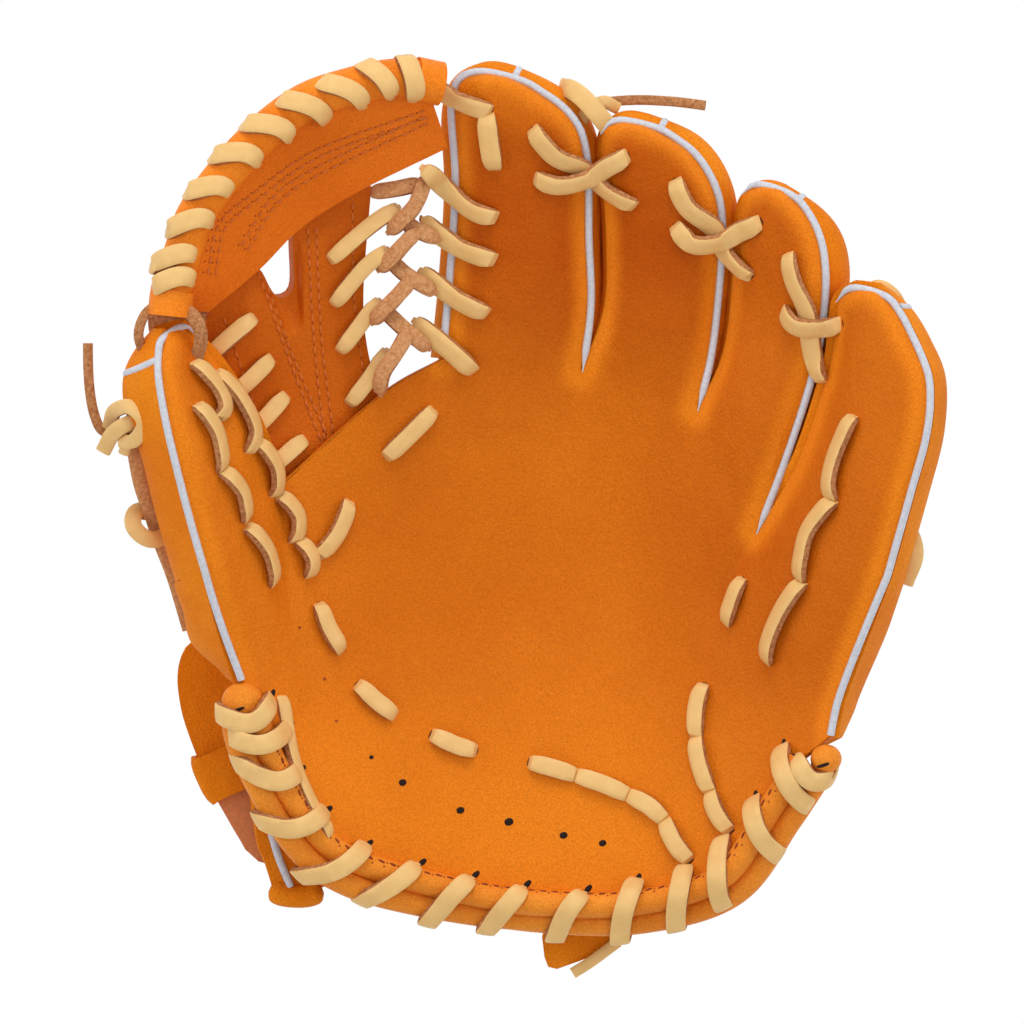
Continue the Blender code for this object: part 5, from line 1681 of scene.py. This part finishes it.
def stitched(name, tree, lines, look, body, sizes):
    """Rows of stitches with a needle hole, a dark mark of painted shadow, between each two."""
    long, pitch, wide, lift = sizes
    bm = bmesh.new()
    for line in lines:
        stitch_row(bm, tree, line, long, pitch, wide, lift)
    for line in lines:
        shifted = line + pitch / 2 * unit(line[1] - line[0])
        stitch_row(bm, tree, shifted, NEEDLE_SIZE, pitch, NEEDLE_SIZE, -NEEDLE_SIZE / 4, 1)
    obj = add_object(name, tidy_mesh(name, bm, [look, NEEDLE_HOLE_SHADOW]))
    return place(obj, body, "lace")


def beside(line, offset):
    """A flat line moved sideways."""
    flat = through(line, STITCH_ROW_POINTS)
    return flat + offset * to_the_right(flat)


def web_pieces():
    """Rim, stitched band and post of the web, with the lace wound round the rim; returns their surface."""
    rim, band, post = web_grids()
    rim_obj = tube_piece("web_rim_roll", [rim], RIM_DIAMETER, RIM_LEATHER_PAINTED_LIGHT, RIM_SIDES)
    place(rim_obj, "thumb_side", "leather", ["web_rim"])
    for name, grid, look in (("web_band", band, BAND_LEATHER_PAINTED_LIGHT), ("web_post", post, POST_LEATHER_PAINTED_SHADE)):
        place(solid_sheet(name + "_leather", [grid], WEB_LEATHER, look), "thumb_side", "leather", [name])
    front = open_sheet("web_front", [band, post])
    rim_tree = surface_tree([front, rim_obj.data])
    runs = wound_runs("rim", RIM_WRAPS, rim_tree, rim, RIM_DIAMETER / 2 + RIM_UNDER, RIM_LEAN)
    place(lace_piece("web_rim_wraps", runs), "thumb_side", "lace", ["web_rim_lace"])
    half = STITCH_ROWS_APART / 2
    rows = [beside(line, off) for line in WEB_STITCHES for off in (-half, half)]
    rows += [beside(line, 0.0) for line in POST_STITCHES]
    stitched("web_stitches", surface_tree([front]), rows, STITCH, "thumb_side", WEB_STITCH)
    for name, part in (("thumb", rim[:RIM_COLLAR_CELLS]), ("index", rim[-RIM_COLLAR_CELLS:])):
        collar = tube_piece("web_collar_" + name, [part], RIM_DIAMETER + COLLAR_STAND, RIM_LEATHER_PAINTED_LIGHT,
                            COLLAR_SIDES)
        place(collar, "thumb_side", "leather")
    return front


def near_fold(body, line):
    """Whether a lace comes so near its fold that it has to bend with the leather."""
    start, end = bend_ends(FOLD_AXES[body], FOLD_REACH)
    run = np.array((end - start) / MM)
    off = (np.array(line)[:, :2] - np.array(start)[:2] / MM) @ run[:2] / (run @ run)
    return bool((off < 1.0).any())


def slits(name, lines, tree, body):
    """Dark slits at the ends of strips."""
    places = []
    for line in lines:
        line = np.array(line, float)
        for end, beside_it in ((0, 1), (-1, -2)):
            run = unit(line[end] - line[beside_it])
            places.append((line[end] + SLIT_AHEAD * run, (-run[1], run[0])))
    hole_marks(name + "_slits", places, tree, body, SLIT_SIZE, SLIT)


def front_strips(tree):
    """Laces that lie on the front leather and between the fingers."""
    for name, (body, lean, lines) in {**STRIPS, **EXTRA_STRIPS}.items():
        tuck = JOINT_TUCK if len(lines) > 1 else TUCK
        runs = [drape(tree, line, crossing=CROSSINGS.get(name), lean=lean, tuck=tuck) for line in lines]
        width = POCKET_STRIP_WIDTH if name.startswith("pocket") else LACE_WIDTH
        obj = lace_piece(name + "_strip", runs, width)
        bends = body != "palm" and any(near_fold(body, line) for line in lines)
        place(obj, body, "lace", [name] if name in STRIPS else (), FOLD_REACH if bends else None)
        if math.hypot(*lean) < STEEP_LEAN:
            slits(name, lines, tree, body)


def web_strips(front, web_front):
    """Laces that tie the web to the index finger and to the thumb."""
    both = surface_tree([front, web_front])
    web_tree = surface_tree([web_front])
    for number, (finger, post) in enumerate(WEB_INDEX_STRIPS, 1):
        runs = [drape(both, finger, FINGER_STRIP_LIFT, FINGER_STRIP_DIPS, lean=FINGER_STRIP_LEAN),
                (*drape(web_tree, post, lean=POST_STRIP_LEAN), POST_STRIP_WIDTH)]
        obj = lace_piece(f"web_index_strip_{number}", runs)
        place(obj, "thumb_side", "lace", [f"web_index_lace_{number}"], FOLD_REACH)
    web_braids()
    for number, line in enumerate(WEB_THUMB_STRIPS, 1):
        runs = [drape(web_tree, line, THUMB_STRIP_LIFT, THUMB_STRIP_DIPS, lean=THUMB_STRIP_LEAN)]
        obj = lace_piece(f"web_thumb_strip_{number}", runs, THUMB_STRIP_WIDTH)
        place(obj, "thumb_side", "lace", [f"web_thumb_lace_{number}"])


def web_braids():
    """Flesh side of the laces that cross in the gap between the post and the index finger."""
    runs = []
    part = np.linspace(0, math.pi, BRAID_POINTS)
    for pair in WEB_BRAIDS:
        for level, line in zip((0.0, BRAID_APART), pair):
            flat = through(line, BRAID_POINTS)
            height = BRAID_LEVEL + BRAID_SLOPE * (flat[:, 1] - BRAID_LEVEL_AT) + level
            middle = np.column_stack([flat, height + BRAID_BOW * np.sin(part)])
            twist = np.column_stack([BRAID_TWIST[0] * np.cos(part), BRAID_TWIST[1] * np.sin(part),
                                     np.ones(BRAID_POINTS)])
            runs.append((middle, unit(twist)))
    obj = lace_piece("web_braids", runs, BRAID_WIDTH, looks=[BRAID_FLESH, SUEDE])
    place(obj, "thumb_side", "suede", (), FOLD_REACH)


def lying_normals(line):
    """Normals of a strip that keeps its face up as far as its line lets it."""
    along = unit(np.gradient(line, axis=0))
    normals = np.array([0, 0, 1.0]) - along * along[:, 2:]
    normals[:, 2] += SLIGHTLY_UP
    normals = evened(normals, LOOSE_PASSES)
    return unit(normals - along * (normals * along).sum(1)[:, None])


def folded(name, runs, looks=None):
    """Strips of lace laid in space, each a middle line and a width."""
    bm = bmesh.new()
    for line, width in runs:
        middle = through(line, LOOSE_POINTS)
        section, marks = lace_section(width, LOOSE_THICK)
        add_sweep(bm, middle, lying_normals(middle), section, marks)
    return add_object(name, tidy_mesh(name, bm, looks or [LACE, SUEDE], SHARP_LACE))


def tail(name, line, body, node):
    """A free lace end, flesh side up."""
    middle = through(line, TAIL_POINTS)
    normals = np.tile(np.array([0, 0, 1.0]), (TAIL_POINTS, 1))
    obj = lace_piece(name, [(middle, normals)], TAIL_WIDTH, LOOSE_THICK, [SUEDE, SUEDE], cut_square=True)
    place(obj, body, "suede", [node])


def loose_ends():
    """Knots, their free tails and the loops behind the thumb and the pinky."""
    place(folded("fingertip_knot_lace", FINGERTIP_KNOT), "palm", "lace", ["fingertip_knot"])
    place(folded("thumb_knot_lace", THUMB_KNOT), "thumb_side", "lace", ["thumb_knot"])
    tail("fingertip_tail", FINGERTIP_TAIL, "palm", "fingertip_lace_tail")
    tail("thumb_tail", THUMB_TAIL, "thumb_side", "thumb_lace_tail")
    place(folded("thumb_top_loops", THUMB_LOOPS, [SUEDE, LACE]), "thumb_side", "lace")
    place(folded("thumb_edge_loop", [EDGE_LOOP]), "thumb_side", "lace")
    place(folded("flap_lace_end", [FLAP_END]), "palm", "lace")
    plan = coons(*(through(line, TONGUE_POINTS) for line in TONGUE_EDGES))
    tongue = np.dstack([plan, np.full(plan.shape[:2], TONGUE_LEVEL)])
    place(solid_sheet("thumb_top_tongue", [tongue], LEATHER, SUEDE), "thumb_side", "leather")
    place(folded("pinky_edge_loops", PINKY_LOOPS), "pinky_side", "lace")
    edge = folded("thumb_edge_strip", [(THUMB_EDGE_LACE, EDGE_LACE_WIDTH)], [BRAID_FLESH, SUEDE])
    place(edge, "thumb_side", "suede", ["thumb_edge_lace"])


def rounded_off(part, least):
    """Shares of a width that falls off in a quarter circle as the part goes from 1 to 0."""
    return np.sqrt(np.clip(1 - (1 - part.clip(0, 1)) ** 2, least, 1))


def strap_pieces():
    """Wrist strap with a rounded end, its flesh side up before the keeper, and the keeper round it."""
    count, cross_count = STRAP_POINTS
    middle = through(STRAP_LINE, count)
    along = unit(np.gradient(middle, axis=0))
    across = unit(np.cross(along, (0, 0, 1.0)))
    reach = np.linspace(0, 1, count)
    half = STRAP_NECK / 2 + (STRAP_WIDTH - STRAP_NECK) / 2 * smoothstep(*STRAP_WIDENS, reach)
    half = (half * rounded_off((1 - reach) / STRAP_END, LEAST_SHARE))[:, None, None]
    grid = middle[:, None] + across[:, None] * half * np.linspace(-1, 1, cross_count)[None, :, None]
    spot = int(KEEPER_SPOT * (count - 1))
    strap = solid_sheet("strap_leather", [grid[spot:]], STRAP_LEATHER, BACK_LEATHER, grow=1.0)
    place(strap, "wrist_strap", "leather", ["wrist_strap"])
    flesh = solid_sheet("strap_flesh_side", [grid[:spot + 1]], STRAP_LEATHER, STRAP_FLESH, grow=1.0)
    place(flesh, "wrist_strap", "leather")
    keeper_piece(middle[spot], across[spot], along[spot])


def squared_off(wave):
    """A wave between -1 and 1 pressed towards its ends, so that a circle turns into a rounded box."""
    return np.sign(wave) * np.abs(wave) ** KEEPER_POWER


def keeper_piece(middle, side, run):
    """Band of leather round the strap."""
    up = np.cross(side, run)
    centre = middle + up * STRAP_LEATHER / 2
    wide, tall = STRAP_NECK / 2 + KEEPER_BESIDE, STRAP_LEATHER / 2 + KEEPER_OVER
    phase = np.linspace(0, 2 * math.pi, KEEPER_POINTS[0])[:, None, None]
    spread = np.linspace(-0.5, 0.5, KEEPER_POINTS[1])[None, :, None]
    narrower = 1 - KEEPER_ROUNDING * np.abs(2 * spread) ** 4
    loop = wide * narrower * squared_off(np.cos(phase)) * side + tall * squared_off(np.sin(phase)) * up
    grid = centre + loop + run * KEEPER_WIDTH * spread
    keeper = solid_sheet("keeper_leather", [grid], KEEPER_THICK, BACK_LEATHER, grow=1.0)
    place(keeper, "wrist_strap", "leather", ["strap_keeper"])


def binding_pieces(thumb_back):
    """Bound edge of the wrist opening beside the strap, hung from the heel end of the thumb's back."""
    top = thumb_back[0, BINDING_COLUMNS]
    foot = np.array(BINDING_FOOT, float)
    left = np.vstack([foot[:1], BINDING_LEFT, top[:1]])
    right = np.vstack([foot[-1:], BINDING_RIGHT, top[-1:]])
    high, wide = BINDING_POINTS
    panel = coons(through(left, high), through(right, high), through(foot, wide), through(top, wide))
    place(solid_sheet("binding_leather", [panel], LEATHER, BACK_LEATHER), "thumb_side", "leather")
    welt = tube_piece("binding_piping", [through(BINDING_WELT, BINDING_WELT_POINTS)], WELT_DIAMETER, WELT)
    place(welt, "thumb_side", "welt")
    line = through(BINDING_CAP, BINDING_CAP_POINTS)
    rows = np.arange(BINDING_CAP_POINTS)
    bm = bmesh.new()
    add_sweep(bm, line, steady_normals(line), round_section(BINDING_CAP_DIAMETER, BINDING_CAP_SIDES),
              scale=rounded_off(np.minimum(rows, rows[::-1]) / BINDING_CAP_ROUND, BINDING_CAP_LEAST))
    cap = add_object("binding_cap", tidy_mesh("binding_cap", bm, [BACK_LEATHER]))
    place(cap, "thumb_side", "leather")


def holes_without_lace(tree):
    """Empty lace holes of the palm and small dimples beside the thumb, as dark marks of painted shadow."""
    for name, marks, look in (("eyelets", EYELETS, HOLE), ("dimples", DIMPLES, NEEDLE_HOLE_SHADOW)):
        places = [(spot, EYELET_RUN, (size, EYELET_SHAPE * size)) for spot, size in marks]
        hole_marks(name, places, tree, "palm", look=look)


def add_lights():
    """Round area lights that look at the glove, and an even white surrounding."""
    for name, spot, size, power in LIGHTS:
        light = bpy.data.lights.new(name, "AREA")
        light.shape = "DISK"
        light.size = size
        light.energy = power
        obj = bpy.data.objects.new(name, light)
        obj.location = spot
        obj.rotation_euler = (Vector(LIGHT_AIM) - Vector(spot)).to_track_quat("-Z", "Y").to_euler()
        bpy.context.scene.collection.objects.link(obj)
    world = bpy.data.worlds.new("studio")
    world.use_nodes = True
    world.node_tree.nodes["Background"].inputs["Color"].default_value = (1, 1, 1, 1)
    world.node_tree.nodes["Background"].inputs["Strength"].default_value = AMBIENT
    bpy.context.scene.world = world


def stage():
    """White floor, soft lights, and a camera straight above."""
    bm = bmesh.new()
    bmesh.ops.create_grid(bm, x_segments=1, y_segments=1, size=FLOOR_SIZE)
    floor = add_object("floor", tidy_mesh("floor", bm, [FLOOR]))
    floor.location.z = FLOOR_LEVEL
    add_lights()
    lens = bpy.data.cameras.new("camera")
    lens.type = "ORTHO"
    lens.ortho_scale = FRAME_WIDTH
    lens.clip_end = FAR_CLIP
    camera = bpy.data.objects.new("camera", lens)
    camera.location = CAMERA_PLACE
    bpy.context.scene.collection.objects.link(camera)
    bpy.context.scene.camera = camera
    bpy.context.scene.view_settings.view_transform = "Standard"


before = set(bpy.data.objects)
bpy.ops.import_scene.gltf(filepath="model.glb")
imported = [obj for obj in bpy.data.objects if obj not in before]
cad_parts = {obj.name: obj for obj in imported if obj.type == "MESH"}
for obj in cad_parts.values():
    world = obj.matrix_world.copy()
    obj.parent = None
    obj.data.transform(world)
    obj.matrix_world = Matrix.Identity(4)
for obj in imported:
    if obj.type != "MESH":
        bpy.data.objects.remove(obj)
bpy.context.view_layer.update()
# Front leather: its dark and light tones are painted shade and painted light, picked by the painted level
FRONT_LEATHER = leather_material("front_leather", tone(240, 134, 26), tone(182, 71, 1), with_painted_shade=True)
BACK_LEATHER = leather_material("back_leather", tone(246, 146, 32), tone(234, 128, 22), roughness=0.65,
                                shine=0.08)
# One leather in lit and shaded copies: painted light on the heel rolls, the web's rim and its band, painted
# shade on the post
ROLL_LEATHER_PAINTED_LIGHT = leather_material("roll_leather_painted_light", tone(250, 156, 54), tone(238, 138, 42))
BAND_LEATHER_PAINTED_LIGHT = leather_material("band_leather_painted_light", tone(240, 122, 28), tone(228, 110, 20))
POST_LEATHER_PAINTED_SHADE = leather_material("post_leather_painted_shade", tone(214, 104, 20), tone(202, 92, 12))
RIM_LEATHER_PAINTED_LIGHT = leather_material("rim_leather_painted_light", tone(255, 148, 42), tone(246, 132, 30))
LACE = lace_material()
SUEDE = suede_material("lace_flesh", tone(146, 86, 46), tone(206, 148, 100))
BRAID_FLESH = suede_material("braid_flesh", tone(180, 116, 68), tone(222, 166, 116))
STRAP_FLESH = plain_material("strap_flesh", tone(224, 136, 84), 0.85, grain=700, depth=0.25)
WELT = plain_material("welt_grey", tone(212, 214, 222), 0.5)
STITCH = plain_material("stitch_thread", tone(216, 112, 42), 0.7)
# needle holes and dimples: dark marks of painted shadow
NEEDLE_HOLE_SHADOW = plain_material("needle_hole_shadow", tone(166, 76, 22), 0.9)
HEEL_THREAD = plain_material("heel_thread", tone(148, 60, 20), 0.7)
LINING_LOOK = plain_material("lining_leather", tone(214, 150, 90), 0.75)
FELT = plain_material("wool_felt", tone(226, 218, 204), 0.95, grain=500, depth=0.5)
SLIT = plain_material("slit_shadow", tone(92, 42, 14), 0.9)
HOLE = plain_material("hole_shadow", tone(38, 24, 18), 0.9)
FLOOR = floor_material()

FRONT_HEIGHT = thin_plate(SURFACE)
WEB_HEIGHT = thin_plate(WEB_SURFACE)
PATCHES = front_patches()
FRONT_SURFACE = front_pieces(PATCHES)
FRONT_TREE = surface_tree([FRONT_SURFACE])
inner_pieces(PATCHES)
BACKS = back_pieces(PATCHES)
welt_pieces(PATCHES, BACKS)
ROLLS, HEEL_CORE = heel_rolls()
HEEL_TREE = surface_tree([FRONT_SURFACE] + ROLLS)
heel_laces(HEEL_TREE, HEEL_CORE)
heel_trim(HEEL_TREE)
WEB_FRONT = web_pieces()
front_strips(FRONT_TREE)
web_strips(FRONT_SURFACE, WEB_FRONT)
loose_ends()
strap_pieces()
binding_pieces(BACKS["thumb"])
holes_without_lace(FRONT_TREE)
stage()
for spare in (FRONT_SURFACE, WEB_FRONT):
    bpy.data.meshes.remove(spare)
